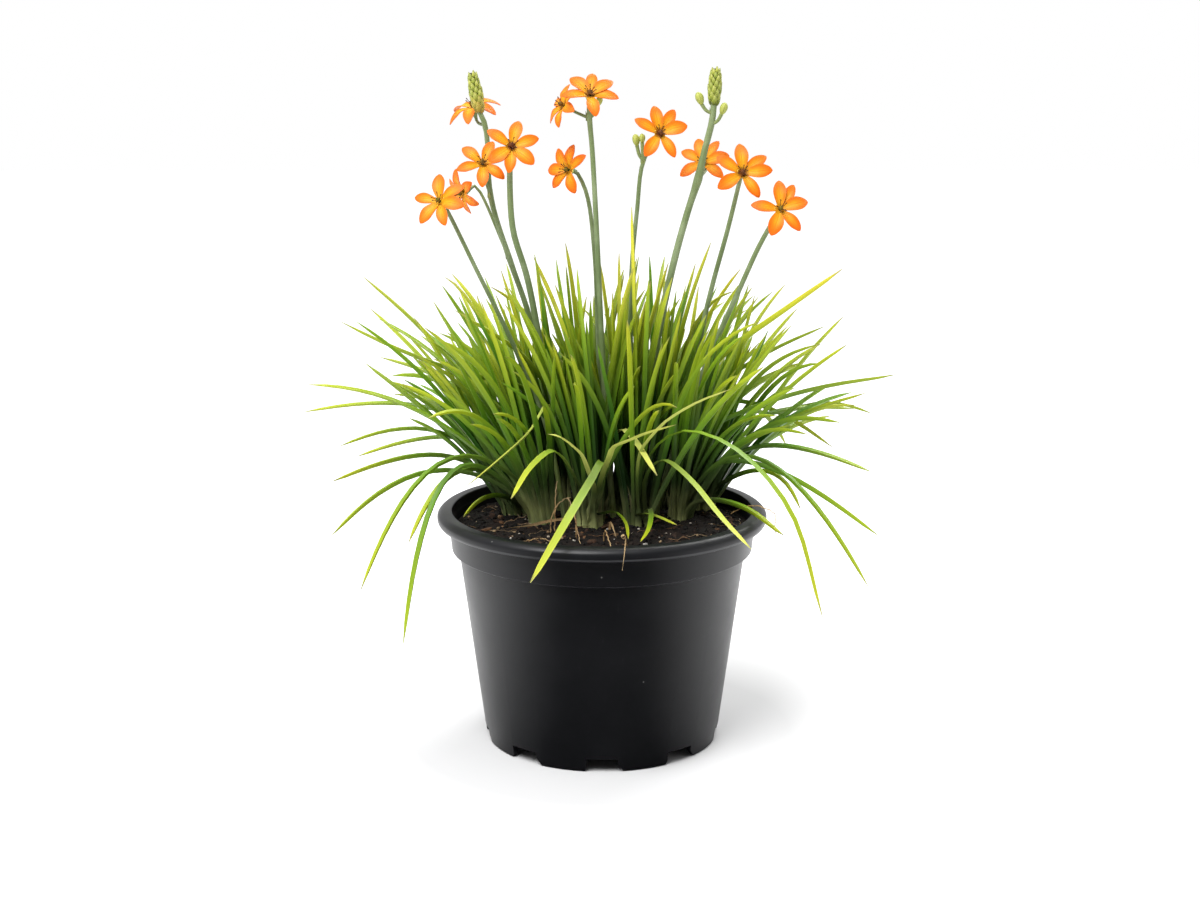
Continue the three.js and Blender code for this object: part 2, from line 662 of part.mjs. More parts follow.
// Six oblong petals round a short cup
function buildFlower(flower) {
  const { axis, up, right } = flowerFrame(flower);
  const centre = vec(flower.at);
  const place = (out, outward, side, across, lift) => centre.clone().addScaledVector(out, outward)
    .addScaledVector(side, across).addScaledVector(axis, lift);
  const cup = loft([
    regularRing(place(right, 0, up, 0, -FLOWER_BACK), right, up, 1.4, 6),
    regularRing(place(right, 0, up, 0, 0.5), right, up, 2.6, 6),
  ]);
  const petals = flower.petals.map((degrees, i) => {
    const turn = THREE.MathUtils.degToRad(degrees);
    const out = right.clone().multiplyScalar(Math.cos(turn)).addScaledVector(up, Math.sin(turn));
    const side = axis.clone().cross(out);
    const lift = i % 2 ? 0 : 0.35;
    const stations = [[0.8, 0.5, -0.3], [flower.size * 0.5, 3.1, 1.6], [flower.size * 0.86, 2.7, 1.4]];
    const rings = stations.map(([outward, width, height]) => [
      place(out, outward, side, width, height + lift),
      place(out, outward, side, -width, height + lift),
      place(out, outward, side, 0, height + lift - 0.95),
    ]);
    return loft(rings, place(out, flower.size, side, 0, 0.6 + lift));
  });
  return fuse([cup, ...petals]);
}

// The seed vessel with six thin stamens, which stands in the flower
function buildFlowerHeart(flower) {
  const { axis, up, right } = flowerFrame(flower);
  const foot = vec(flower.at).addScaledVector(axis, 1.3);
  const at = (height) => foot.clone().addScaledVector(axis, height);
  const vessel = loft([
    regularRing(at(0), right, up, 0.8, 5), regularRing(at(1), right, up, 1.25, 5),
  ], at(3.4));
  const stamens = flower.petals.map((degrees) => {
    const turn = THREE.MathUtils.degToRad(degrees);
    const out = right.clone().multiplyScalar(Math.cos(turn)).addScaledVector(up, Math.sin(turn));
    const end = at(3.9).addScaledVector(out, 3.6);
    return tube([at(0.9), end], [0.5, 0.4], 3, true);
  });
  return fuse([vessel, ...stamens]);
}

// A spike of closed buds packed in turns round a slim core
function buildSpike(spike) {
  const foot = vec(spike.foot);
  const run = vec(spike.tip).sub(foot);
  const length = run.length();
  const axis = run.normalize();
  const [u, v] = squareTo(axis);
  const girth = (t) => spike.radius * (t < 0.35 ? 0.62 + 1.09 * t : Math.sqrt(1 - ((t - 0.35) / 0.68) ** 2));
  const at = (t) => foot.clone().addScaledVector(axis, length * t);
  const core = loft([0, 0.3, 0.8].map((t) => regularRing(at(t), u, v, girth(t) * 0.74, 5)), at(1));
  const buds = [];
  const turns = 5;
  for (let row = 0; row < turns; row += 1) {
    for (let k = 0; k < 5; k += 1) {
      const t = 0.06 + (0.76 * (row + k * 0.12)) / turns;
      const angle = (2 * Math.PI * (k + 0.5 * (row % 2))) / 5;
      const out = u.clone().multiplyScalar(Math.cos(angle)).addScaledVector(v, Math.sin(angle));
      const middle = at(t).addScaledVector(out, girth(t) * 0.55);
      const heading = axis.clone().addScaledVector(out, 0.5).normalize();
      const [a, b] = squareTo(heading);
      const size = 1 - 0.45 * t;
      buds.push(loft([regularRing(middle.clone(), a, b, 1.9 * size, 3)],
        middle.clone().addScaledVector(heading, 5.2 * size)));
    }
  }
  return fuse([core, ...buds]);
}

function buildDryLeaf(path) {
  const points = path.map(([x, y, z = CROWN_BOTTOM]) => new THREE.Vector3(x, y, z));
  return blade(points, DRY_HALF_WIDTH, 0.8, [1, 0]);
}

// The whole plant

const group = new THREE.Group();
const pad = (number) => String(number).padStart(2, '0');

group.add(toMesh('pot', buildPot(), POT_FINISH()));
const holes = [
  ...TUFTS.map(([x, y]) => ({ x, y, radius: CROWN_RADIUS, sides: 8 })),
  ...STEMS.map(({ path: [[x, y]], radius }) => ({ x, y, radius: radius[0] + 1.5, sides: 6 })),
  ...DRY_LEAVES.map(([[x, y]]) => ({ x, y, radius: 1.6, sides: 4 })),
];
group.add(toMesh('soil', buildSoil(holes), SOIL_FINISH()));

const placed = [];
STEMS.forEach((_, i) => group.add(toMesh(`stem_${pad(i + 1)}`, buildStem(i + 1, placed), STEM_FINISH())));
DRY_LEAVES.forEach((path, i) => {
  keep(placed, `dry_${i}`, path.map(([x, y, z = CROWN_BOTTOM]) => new THREE.Vector3(x, y, z)), 1.2);
  group.add(toMesh(`dry_leaf_${pad(i + 1)}`, buildDryLeaf(path), DRY_FINISH()));
});
buildTufts(placed).forEach((tuft, i) => group.add(toMesh(`tuft_${pad(i + 1)}`, tuft, LEAF_FINISH())));
FLOWERS.forEach((flower, i) => {
  group.add(toMesh(`flower_${pad(i + 1)}`, buildFlower(flower), PETAL_FINISH()));
  group.add(toMesh(`flower_heart_${pad(i + 1)}`, buildFlowerHeart(flower), HEART_FINISH()));
});
SPIKES.forEach((spike, i) => group.add(toMesh(`bud_spike_${pad(i + 1)}`, buildSpike(spike), BUD_FINISH())));

export default group;
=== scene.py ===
# A potted bulbine in a black nursery pot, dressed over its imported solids. The tables and the leaf rule are
# those of the part's source, in millimetres; a mesh is turned to metres when it is made.

import math

import bmesh
import bpy
import numpy as np
from mathutils import Euler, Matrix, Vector, noise


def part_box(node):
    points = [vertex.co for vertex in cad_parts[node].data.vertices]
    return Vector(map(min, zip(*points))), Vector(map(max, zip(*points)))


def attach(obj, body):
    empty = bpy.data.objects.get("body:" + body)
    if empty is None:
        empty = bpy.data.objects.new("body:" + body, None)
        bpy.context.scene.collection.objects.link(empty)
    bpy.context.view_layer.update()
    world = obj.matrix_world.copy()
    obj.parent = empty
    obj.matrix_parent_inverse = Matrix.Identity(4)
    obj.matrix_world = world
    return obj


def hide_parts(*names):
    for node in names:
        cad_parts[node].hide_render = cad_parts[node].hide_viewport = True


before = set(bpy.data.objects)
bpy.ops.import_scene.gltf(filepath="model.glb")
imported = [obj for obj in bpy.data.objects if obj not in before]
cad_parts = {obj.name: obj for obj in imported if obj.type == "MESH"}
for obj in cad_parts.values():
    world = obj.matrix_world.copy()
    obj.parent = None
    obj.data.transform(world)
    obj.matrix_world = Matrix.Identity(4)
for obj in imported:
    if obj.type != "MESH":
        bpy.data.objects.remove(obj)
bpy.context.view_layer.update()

bl_info = {
    "name": "Potted bulbine",
    "version": (1, 0, 0),
    "blender": (4, 5, 0),
    "location": "View3D > Sidebar > Bulbine",
    "description": "Makes the pot, soil, leaves, stems, flowers and studio of a potted bulbine",
    "category": "Object",
}

POT_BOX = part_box("pot")
MM = 0.001

# Pot, as radius, height and the rounding of each corner

POT_PROFILE = [
    (0, 9.3, 0), (0, 7.5, 0), (58.4, 7.5, 0.5), (58.4, 0, 0.3), (60.8, 0, 0.4), (73.9, 99, 0.5),
    (77.6, 100.5, 0.6), (78.9, 113, 0.5), (84.2, 114.6, 0.5), (85, 116.2, 1.2), (85, 118.8, 1.6),
    (82.8, 121, 1.6), (77.4, 121, 0.7), (76.9, 102, 1.0), (72.4, 98.6, 1.5), (60.2, 9.3, 2),
]
# Heights of the two moulded edges where pale highlight lines are painted
EDGE_HIGHLIGHT_HEIGHTS = (99.9, 115.4)
NOTCH_COUNT = 9
NOTCH_OUTLINE = [(-9.2, -1), (-7.75, 1.6), (-7.75, 6.5), (7.75, 6.5), (7.75, 3.8), (11.4, -1)]
NOTCH_INNER = 54.4
NOTCH_OUTER = 63.8
DRAIN_RADIUS = 3.2
DRAIN_CIRCLE = 48

# Soil

SOIL_EDGE = 76.7
SOIL_LEVEL = 112.5
SOIL_DISC = 110.8
SOIL_RINGS = 44
SOIL_RING_WIDTH = 1.7
SOIL_WALL = [(76.5, 102.2), (72, 98.8), (59.8, 9.6)]
# Lumps from broad to fine: size, place in the noise, height
SOIL_LUMPS = [(21, 3, 1.5), (6.5, 9, 1.3), (2.6, 5, 0.8)]
LITTER_REACH = 74
PALE_CRUMB_EVERY = 60

# Leaves

LEAF_GAP = 3.25
TUFT_GAP = 1.7
CLUMP_HEART = (4, 26)
FRONT_LEAN = 0.4
SIDE_SPREAD = 100
DEPTH_SPREAD = 52
CROWN_BOTTOM = 105
ROOT_SPREAD = 6
LEAF_ROOT_HEIGHT = 109
LEAF_START_HEIGHT = 114
LEAVES_PER_TUFT = 15
TRIES_PER_LEAF = 90
VIEWER = np.array((0.0, -934.0, 354.0))
LEAF_SPANS = 18
# A leaf's share of its full width, by the share of its length
LEAF_TAPER = [(0, 0.9), (0.15, 0.82), (0.5, 1.02), (0.72, 1), (0.87, 0.82), (0.95, 0.6), (0.985, 0.38),
              (1, 0.12)]
SHEATH_FOOT = 110.5
# What the thinner leaves that are added between the others ask of the leaf rule
INNER_RULE = {"low": 96, "high": 148, "gap": 2.2, "own_gap": 0.9, "outward": 0.3, "stray": 0.42, "stiff": 0.5,
              "front": -12}
# Where a leaf may not go: inside each radius it stays above a height
POT_CLEARANCE = [(74, 114.9), (88, 123.4)]
TIP_LIMITS = (146, 106)
# A leaf is tried as a line of few spans and drawn with more
TRIED_SPANS = 4
DRAWN_SPANS = 24
STEM_OWNER, STEM_KEEP = 100, 0.9
DRY_OWNER, DRY_KEEP = 200, 1.2

TUFTS = [
    (-45, 22), (-31, 3), (-6, -3), (19, -2), (40, 10), (53, 32),
    (30, 34), (6, 22), (-22, 30), (-6, 50), (22, 56), (-38, 46),
]

# The long leaves that shape the outline: tuft, tip x, y, z, how far along to the tip the arch peaks, how
# high above the soil its control point is, and how far it bows to one side
ARCHED_LEAVES = [
    (1, -123, 25, 237, 0.05, 66, -12), (2, -148, -10, 187, 0.41, 73, 0), (12, -154, 10, 169, 0.16, 73, 0),
    (1, -120, 0, 196, 0.3, 44, 0), (12, -120, 62, 189, 0.1, 65, 0), (1, -137, -15, 138, 0.19, 55, 0),
    (2, -135, -35, 115, 0.49, 63, 0), (12, -130, 30, 141, 0.19, 56, 0), (2, -118, -60, 94, 0.57, 91, 0),
    (2, -95, -85, 75, 0.7, 96, -4), (1, -94, -60, 118, 0.57, 61, 0), (9, -81, 25, 237, 0.7, 118, 0),
    (10, -59, 50, 229, 0.1, 98, 0), (8, -35, 20, 248, 0.5, 100, 0), (10, -19, 40, 253, 0.1, 99, 0),
    (1, -71, -10, 118, 0.6, 26, 0), (7, 117, 35, 210, 0.06, 68, 0), (11, 110, 60, 187, 0.55, 67, 0),
    (6, 136, 10, 179, 0.12, 45, 0), (6, 135, 45, 164, 0.1, 64, 0), (11, 124, 45, 143, 0.23, 93, 0),
    (6, 137, -10, 142, 0.1, 57, 0), (5, 138, -35, 115, 0.15, 66, 0), (5, 130, -60, 96, 0.36, 86, 0),
    (6, 100, -25, 126, 0.74, 50, 0), (3, 37, -35, 180, 0.6, 80, 0), (7, 84, 50, 199, 0.45, 62, 0),
    (7, 68, 30, 229, 0.16, 111, 0), (11, 73, 45, 239, 0.54, 100, 0), (5, 61, 20, 218, 0.45, 80, 0),
    (7, 56, 25, 255, 0.1, 85, -4), (4, 15, 5, 275, 0.1, 90, 0), (8, 34, 20, 245, 0.5, 90, 0),
    (10, -40, 112, 140, 0.5, 95, 0), (11, 12, 108, 158, 0.45, 92, 0), (11, 58, 104, 125, 0.5, 90, 0),
    (12, -92, 96, 150, 0.4, 80, 0), (6, 104, 92, 134, 0.4, 84, 0),
]

# Leaves with a kink or a double bend: tuft, then the points that they pass after their root
BENT_LEAVES = [
    (9, (-22, 24, 155), (-36, 22, 178), (-74, 25, 188), (-105, 28, 199), (-136, 30, 213)),
    (5, (43, 9, 145), (54, 10, 160), (84, 12, 174), (115, 16, 182), (153, 20, 187)),
    (9, (-23, 26, 158), (-29, 20, 182), (-43, 14, 201), (-75, 10, 222)),
    (3, (-1, -12, 130), (0, -30, 152), (-5, -46, 147), (-17, -80, 134), (-33, -112, 113)),
    (3, (-13, -12, 138), (-24, -28, 157), (-35, -42, 152), (-44, -60, 140)),
    (8, (5, 5, 150), (10, -14, 165), (17, -32, 162), (27, -45, 148)),
    (4, (22, -10, 138), (30, -22, 151), (43, -42, 146), (58, -62, 131), (71, -80, 120)),
    (2, (-27, 0, 154), (-28, -6, 176), (-36, -22, 166), (-51, -34, 154), (-68, -42, 141)),
    (4, (18, -8, 119), (22, -13, 121), (29, -17, 120), (38, -20, 116.5)),
    (3, (0, -9, 120), (7, -18, 123), (12, -30, 120), (13, -42, 115)),
    (4, (24, -8, 122), (25, -17, 121.5), (23, -34, 117.5), (19, -47, 115)),
    (4, (24, -10, 150), (40, -32, 168), (65, -52, 163), (90, -72, 137), (105, -85, 88)),
    (5, (47, 4, 122), (57, -6, 127), (74, -26, 126.5), (90, -42, 117)),
    (7, (34, 30, 158), (47, 24, 181), (66, 19, 201), (93, 13, 222), (122, 10, 243)),
]

# How wide each bent leaf is and how yellow it is, where more than 1 is pale
BENT_LOOKS = [
    (1.0, 0.6), (1.05, 0.55), (1.0, 0.6), (1.5, 1.1), (1.25, 1.05), (1.45, 1.4), (1.25, 1.15),
    (1.2, 1.3), (1.1, 1.1), (1.0, 1.0), (1.0, 1.0), (1.25, 1.0), (1.1, 0.8), (1.2, 0.75),
]

# Front leaves that have no solid of their own: tuft, width, yellowness, and the points after the root
FRONT_LEAVES = [
    (3, 1.3, 1.5, (-4, -20, 136), (-6, -28, 144), (-10, -38, 157), (-14, -46, 163), (-20, -52, 169),
     (-26, -58, 171.5)),
    (3, 1.3, 1.4, (0, -24, 143), (3, -33, 153), (6, -42, 162), (12.6, -45, 165.5), (22, -47, 170),
     (36, -50, 174.5)),
    (4, 1.0, 1.5, (19, -22, 154), (26, -28, 166), (32.5, -32, 173.5), (48, -35, 183.5), (63.5, -38, 190)),
]

# Withered threads among the leaves' feet and over the rim: radius, then points
WISPS = [
    (0.4, (-26, -22, 113), (-26, -22, 117.6), (-24, -20, 124.4), (-20.3, -18, 128.6), (-15.7, -17, 130.3)),
    (0.5, (-24, -18, 113), (-23.9, -18, 117.5), (-23.5, -16, 131.6), (-22.8, -15, 138)),
    (0.5, (-13, -26, 113), (-13.1, -26, 120), (-15.2, -22, 125.8), (-17.2, -20, 131)),
    (0.5, (1, -38, 112.5), (1.5, -41, 119), (3.4, -52, 117), (5.3, -64, 114.5)),
    (0.35, (-13, -33, 112.5), (-12.6, -35, 119), (-11.9, -40, 117.4), (-10.8, -47, 114)),
    (0.4, (66, -14, 121), (72.3, -20, 126), (79, -30, 128.6), (86, -36, 126.2), (86, -39, 119.8),
     (88, -40, 110.5)),
    (0.45, (30, -50, 112.5), (34, -53, 115.5), (41, -52, 116), (47, -55, 113.5)),
    (0.35, (-40, -40, 112.5), (-36, -44, 115), (-30, -43, 115.5), (-22, -48, 114)),
]

# Stems: the radius at the root and at the top, then the points from the soil up to the flower's stalk
STEMS = [
    (1.6, 1.2, [(-20, 12, 114), (-25, 12, 145), (-34, 11, 177), (-48, 9, 210), (-63, 6, 242)]),
    (2.1, 1.4, [(-9, 34, 114), (-18, 33, 150), (-31, 32, 188), (-39, 29, 220), (-48, 27, 247),
                (-57, 24, 279), (-58, 22, 303), (-59.1, 21.5, 314.5), (-61.9, 21, 321.4)]),
    (2.3, 1.7, [(-9, 17, 114), (-19, 15, 150), (-29, 13, 190), (-38, 8, 239), (-45, 4, 265)]),
    (1.7, 1.2, [(3, 40, 114), (0, 39, 150), (-2, 38, 202), (-4, 33, 250), (-8, 30, 280)]),
    (2.0, 1.4, [(6, 9, 114), (3, 9, 150), (0, 10, 203), (-3, 13, 268), (-5, 14, 304), (-6.3, 14, 318.5)]),
    (1.7, 1.2, [(16, 34, 114), (16, 32, 160), (15, 28, 233), (18, 22, 272), (21, 18, 297)]),
    (2.5, 1.9, [(20, 18, 114), (22, 18, 150), (28, 18, 202), (37, 19, 246), (44, 20, 272),
                (49, 20, 288), (52, 20, 302), (55.3, 20, 315), (56.1, 20, 320.4), (56.4, 20, 325.2)]),
    (1.9, 1.3, [(41.5, 25, 114), (46, 25, 165), (52, 23, 210), (57, 20, 234), (64, 11, 264)]),
    (2.0, 1.4, [(28.5, 15.5, 114), (38, 13, 150), (57, 8, 203), (69, 4, 232), (79, 0, 256)]),
]
# The drawn stems are a little thinner, and swell where a side stalk leaves, stem 7 the most
STEM_SHARE = 0.85
JOINT_SWELL = 0.16
JOINT_SWELL_OF = {7: 0.34}

# Flowers: stem, middle, the way it faces, the angles of its petals, a petal's length, the stem's point that
# a side flower's stalk leaves from (0 at a stem's own end), how brown the heart is, and how far its petals
# curl back
FLOWERS = [
    (1, (-81, 0, 278), (-0.35, -0.8, 0.48), (101, 40, -10, 175, 238, 295), 14.6, 0, 0.1, 0.2),
    (2, (-60, 10, 296), (0.05, -0.84, 0.54), (140, 70, 18, -38, -90, 197), 13.6, 5, 0.6, 0.4),
    (2, (-71, 26, 281), (-0.75, -0.55, -0.35), (90, 150, 210, 270, 330, 30), 12.5, 4, 0.4, 0.6),
    (2, (-66, 33, 323), (-0.25, -0.3, 0.92), (175, 115, 55, 5, -60, -120), 14.2, 7, 0.5, 4.2),
    (3, (-45, 0, 305), (0.15, -0.86, 0.48), (74, 14, -46, -98, 218, 142), 14.4, 0, 0.95, 0.0),
    (4, (-17, 25, 292), (-0.6, -0.78, 0.15), (130, 35, -60, 225, 180, 85), 13, 0, 0.35, 0.8),
    (5, (-6, 9, 330), (0.05, -0.72, 0.69), (128, 82, 36, -6, -84, 185), 14.4, 0, 0.8, 0.3),
    (5, (-19, 17, 324.5), (-0.8, -0.4, 0.45), (110, 170, 230, 290, 350, 50), 12.4, 5, 0.6, 1.0),
    (6, (29, 12, 311), (0.12, -0.93, 0.34), (101, 55, 18, -58, -125, 150), 14.4, 0, 0.9, 0.2),
    (7, (52.5, 37, 295), (-0.25, -0.85, 0.46), (107, 152, 214, -34, 14, 60), 13.8, 5, 0.6, 0.5),
    (8, (70, 2, 292), (0.05, -0.93, 0.36), (91, 38, 2, -60, 215, 149), 15, 0, 0.9, 0.1),
    (9, (88, -10, 275), (0.1, -0.9, 0.42), (90, 56, 18, -51, 252, 172), 14.6, 0, 0.3, 0.2),
]
FLOWER_BACK = 2.6
USUAL_PETAL = 14.4
INNER_PETAL = 0.84
PETAL_THICKNESS = 0.35
# A petal's width and how far it rises, by the share of its length
PETAL_BELLY = [(0, 0.3), (0.12, 0.46), (0.3, 0.78), (0.48, 0.98), (0.6, 1), (0.74, 0.9), (0.86, 0.66),
               (0.94, 0.42), (0.98, 0.24), (1, 0.06)]
PETAL_RISE = [(0, -0.4), (0.25, 0.85), (0.5, 1.6), (0.86, 1.4), (1, 0.6)]
# What a cup has in its mark where a petal has its distance from the midrib, which is never more than 1
CUP_MARK = 2

# Closed side buds: stem, the stem's point that the stalk leaves from, the bud's middle, and its half length
SIDE_BUDS = [
    (7, 8, (49.2, 18, 327.9), 3.3), (7, 7, (61.1, 18, 322.9), 3.1), (6, 4, (17.2, 15, 307.4), 3),
    (6, 4, (20.2, 12.5, 308.4), 2.4), (5, 5, (-1.5, 15, 326.8), 2.6),
]

# Spikes of closed buds: foot, tip, and radius at the widest place
SPIKES = [((-62, 21, 321.8), (-65.5, 20, 342), 4.2), ((56.4, 20, 325.6), (57.3, 20, 344), 4.3)]
SPIKE_BUDS = 46
GOLDEN_TURN = math.radians(137.5)

# Withered leaves: the points from the root in the soil
DRY_LEAVES = [
    [(-17, -9, 105), (-17, -9, 116), (-24, -14, 117.5), (-36, -18, 116), (-51, -23, 115.3)],
    [(4, -16, 105), (4, -16, 116), (5, -26, 118), (7, -40, 115.5)],
    [(12, -62, 105), (12, -62, 117), (11.5, -74, 123.6), (11, -82, 124.2), (10.5, -87.5, 120),
     (9.5, -88.5, 112)],
]
DRY_WIDTHS = (0.9, 0.7, 0.7)

# The last one has a knot, whose loops are each a radius and a tilt, beside its middle
KNOTTED_LEAF = 3
KNOT_LOOPS = ((1.0, 0.2), (0.7, 1.1), (0.85, 2.2))
KNOT_SHIFT = (-1.2, -0.6, 1.2)

# Camera and lamps, in metres: a lamp's name, place, width and share of the key light's power
CAMERA_PLACE = (-0.001, -0.934, 0.354)
CAMERA_TILT = 77.74
SENSOR_WIDTH = 36
LAMP_AIM = (0, 0, 0.2)
LAMPS = [("key_lamp", (-0.5, -0.75, 1.5), 1.1, 1.0), ("back_lamp", (0.6, 0.9, 1.4), 1.0, 0.6)]

UP = np.array((0.0, 0.0, 1.0))


# Seeded draws, the same on every run

SEEDS = {"leaves": 20, "looks": 31, "litter": 11, "blades": 5, "petals": 3, "hearts": 17, "spikes": 23,
         "withered": 41}


class Draws:
    FACTOR, STEP, RANGE = 1664525, 1013904223, 2 ** 32

    def __init__(self, purpose):
        self.state = SEEDS[purpose]

    def share(self):
        self.state = (self.state * self.FACTOR + self.STEP) % self.RANGE
        return self.state / self.RANGE

    def between(self, low, high):
        return low + (high - low) * self.share()

    def in_disc(self):
        x = y = 1.0
        while x * x + y * y > 1:
            x = 2 * self.share() - 1
            y = 2 * self.share() - 1
        return x, y

    def roll(self, most):
        return math.asin(most * (2 * self.share() - 1))


# Lines in space

def unit(vector):
    vector = np.asarray(vector, float)
    return vector / np.linalg.norm(vector)


def tangents(path):
    ahead = np.vstack([path[1:], path[-1:]])
    behind = np.vstack([path[:1], path[:-1]])
    run = ahead - behind
    return run / np.linalg.norm(run, axis=1)[:, None]


def smooth_line(points, count):
    """Points on a centripetal curve through the given ones"""
    points = np.asarray(points, float)
    last = len(points) - 1
    line = []
    for step in range(count + 1):
        place = last * step / count
        index = min(int(place), last - 1)
        share = place - index
        p1, p2 = points[index], points[index + 1]
        p0 = points[index - 1] if index else 2 * points[0] - points[1]
        p3 = points[index + 2] if index + 2 <= last else 2 * points[last] - points[last - 1]
        d0, d1, d2 = (np.linalg.norm(b - a) ** 0.5 for a, b in ((p0, p1), (p1, p2), (p2, p3)))
        m1 = ((p1 - p0) / d0 - (p2 - p0) / (d0 + d1) + (p2 - p1) / d1) * d1
        m2 = ((p2 - p1) / d1 - (p3 - p1) / (d1 + d2) + (p3 - p2) / d2) * d1
        line.append(p1 + m1 * share + (3 * (p2 - p1) - 2 * m1 - m2) * share ** 2
                    + (2 * (p1 - p2) + m1 + m2) * share ** 3)
    return np.array(line)


def length_share(path):
    """How far along a path each of its points lies, from 0 to 1"""
    reach = np.concatenate([[0], np.cumsum(np.linalg.norm(np.diff(path, axis=0), axis=1))])
    return reach / reach[-1]


def stations(line, count, bend_length=0.0):
    """Points along a line, closer together where it bends"""
    steps = np.linalg.norm(np.diff(line, axis=0), axis=1)
    heading = np.diff(line, axis=0) / np.maximum(steps, 1e-9)[:, None]
    turn = np.zeros(len(steps))
    turn[1:] = np.arccos(np.clip((heading[1:] * heading[:-1]).sum(1), -1, 1))
    reach = np.concatenate([[0], np.cumsum(steps + bend_length * turn)])
    wanted = np.linspace(0, reach[-1], count + 1)
    return np.stack([np.interp(wanted, reach, line[:, axis]) for axis in range(3)], axis=1)


# The leaf rule of the source

class TakenLines:
    """Straight stretches that a new leaf keeps clear of"""

    def __init__(self):
        self.starts = np.zeros((6000, 3))
        self.ends = np.zeros((6000, 3))
        self.keep = np.zeros(6000)
        self.owner = np.zeros(6000, int)
        self.count = 0

    def add(self, owner, line, keep):
        line = np.asarray(line, float)[1:]
        rows = slice(self.count, self.count + len(line) - 1)
        self.starts[rows], self.ends[rows] = line[:-1], line[1:]
        self.keep[rows], self.owner[rows] = keep, owner
        self.count += len(line) - 1

    def clear_of(self, line, owner, gap, own_gap):
        rows = slice(0, self.count)
        line = line[1:]
        low, high = line.min(0), line.max(0)
        starts, ends, keep = self.starts[rows], self.ends[rows], self.keep[rows]
        reach = np.where(self.owner[rows] == owner, own_gap, gap / 2 + keep)
        near = (np.minimum(starts, ends) < high + reach[:, None]).all(1)
        near &= (np.maximum(starts, ends) > low - reach[:, None]).all(1)
        if not near.any():
            return True
        r, s, reach = starts[near][None], ends[near][None], reach[near][None]
        p, q = line[:-1, None], line[1:, None]
        d1, d2, w = q - p, s - r, p - r
        a, e = (d1 * d1).sum(2), (d2 * d2).sum(2)
        f, c, b = (d2 * w).sum(2), (d1 * w).sum(2), (d1 * d2).sum(2)
        spread = a * e - b * b
        u = np.where(spread > 1e-9, np.clip((b * f - c * e) / np.maximum(spread, 1e-9), 0, 1), 0)
        v = (b * u + f) / e
        u = np.where(v < 0, np.clip(-c / a, 0, 1), np.where(v > 1, np.clip((b - c) / a, 0, 1), u))
        v = np.clip(v, 0, 1)
        gapline = w + d1 * u[..., None] - d2 * v[..., None]
        return not (np.linalg.norm(gapline, axis=2) < reach).any()


def misses_pot(line):
    for start, end in zip(line[1:-1], line[2:]):
        for share in (0.34, 0.67, 1):
            x, y, z = start + (end - start) * share
            reach = math.hypot(x, y)
            if z < next((least for radius, least in POT_CLEARANCE if reach < radius), -math.inf):
                return False
    return True


def arch(root, peak, tip, spans):
    t = np.linspace(0, 1, spans + 1)[:, None]
    curve = (1 - t) ** 2 * root + 2 * t * (1 - t) * peak + t ** 2 * tip
    return np.vstack([[root[0], root[1], LEAF_ROOT_HEIGHT], curve])


def arched_line(row, root, seen, spans):
    tip = seen(row[1:4])
    share, height, bow = row[4:]
    run = tip[:2] - root[:2]
    length = max(np.linalg.norm(run), 1)
    peak = np.array((root[0] + share * run[0] - bow * run[1] / length,
                     root[1] + share * run[1] + bow * run[0] / length, LEAF_START_HEIGHT - 2 + height))
    return arch(root, peak, tip, spans)


def bent_line(row, root, seen, spans):
    points = [(root[0], root[1], LEAF_ROOT_HEIGHT), root, *(seen(point) for point in row[1:])]
    return np.array(points) if spans == TRIED_SPANS else smooth_line(points, spans * 3)


def place_long(draws, taken, row, shape):
    cx, cy = TUFTS[row[0] - 1]
    for attempt in range(TRIES_PER_LEAF):
        u, v = draws.in_disc()
        slide = 1 + (1 if attempt % 2 else -1) * attempt * 0.0006
        root = np.array((cx + ROOT_SPREAD * u, cy + ROOT_SPREAD * v, LEAF_START_HEIGHT))

        def seen(point):
            return VIEWER + (np.asarray(point, float) - VIEWER) * slide

        line = shape(row, root, seen, TRIED_SPANS)
        if misses_pot(line) and taken.clear_of(line, row[0], LEAF_GAP, TUFT_GAP):
            break
    taken.add(row[0], line, LEAF_GAP / 2)
    return shape(row, root, seen, DRAWN_SPANS), draws.roll(0.4)


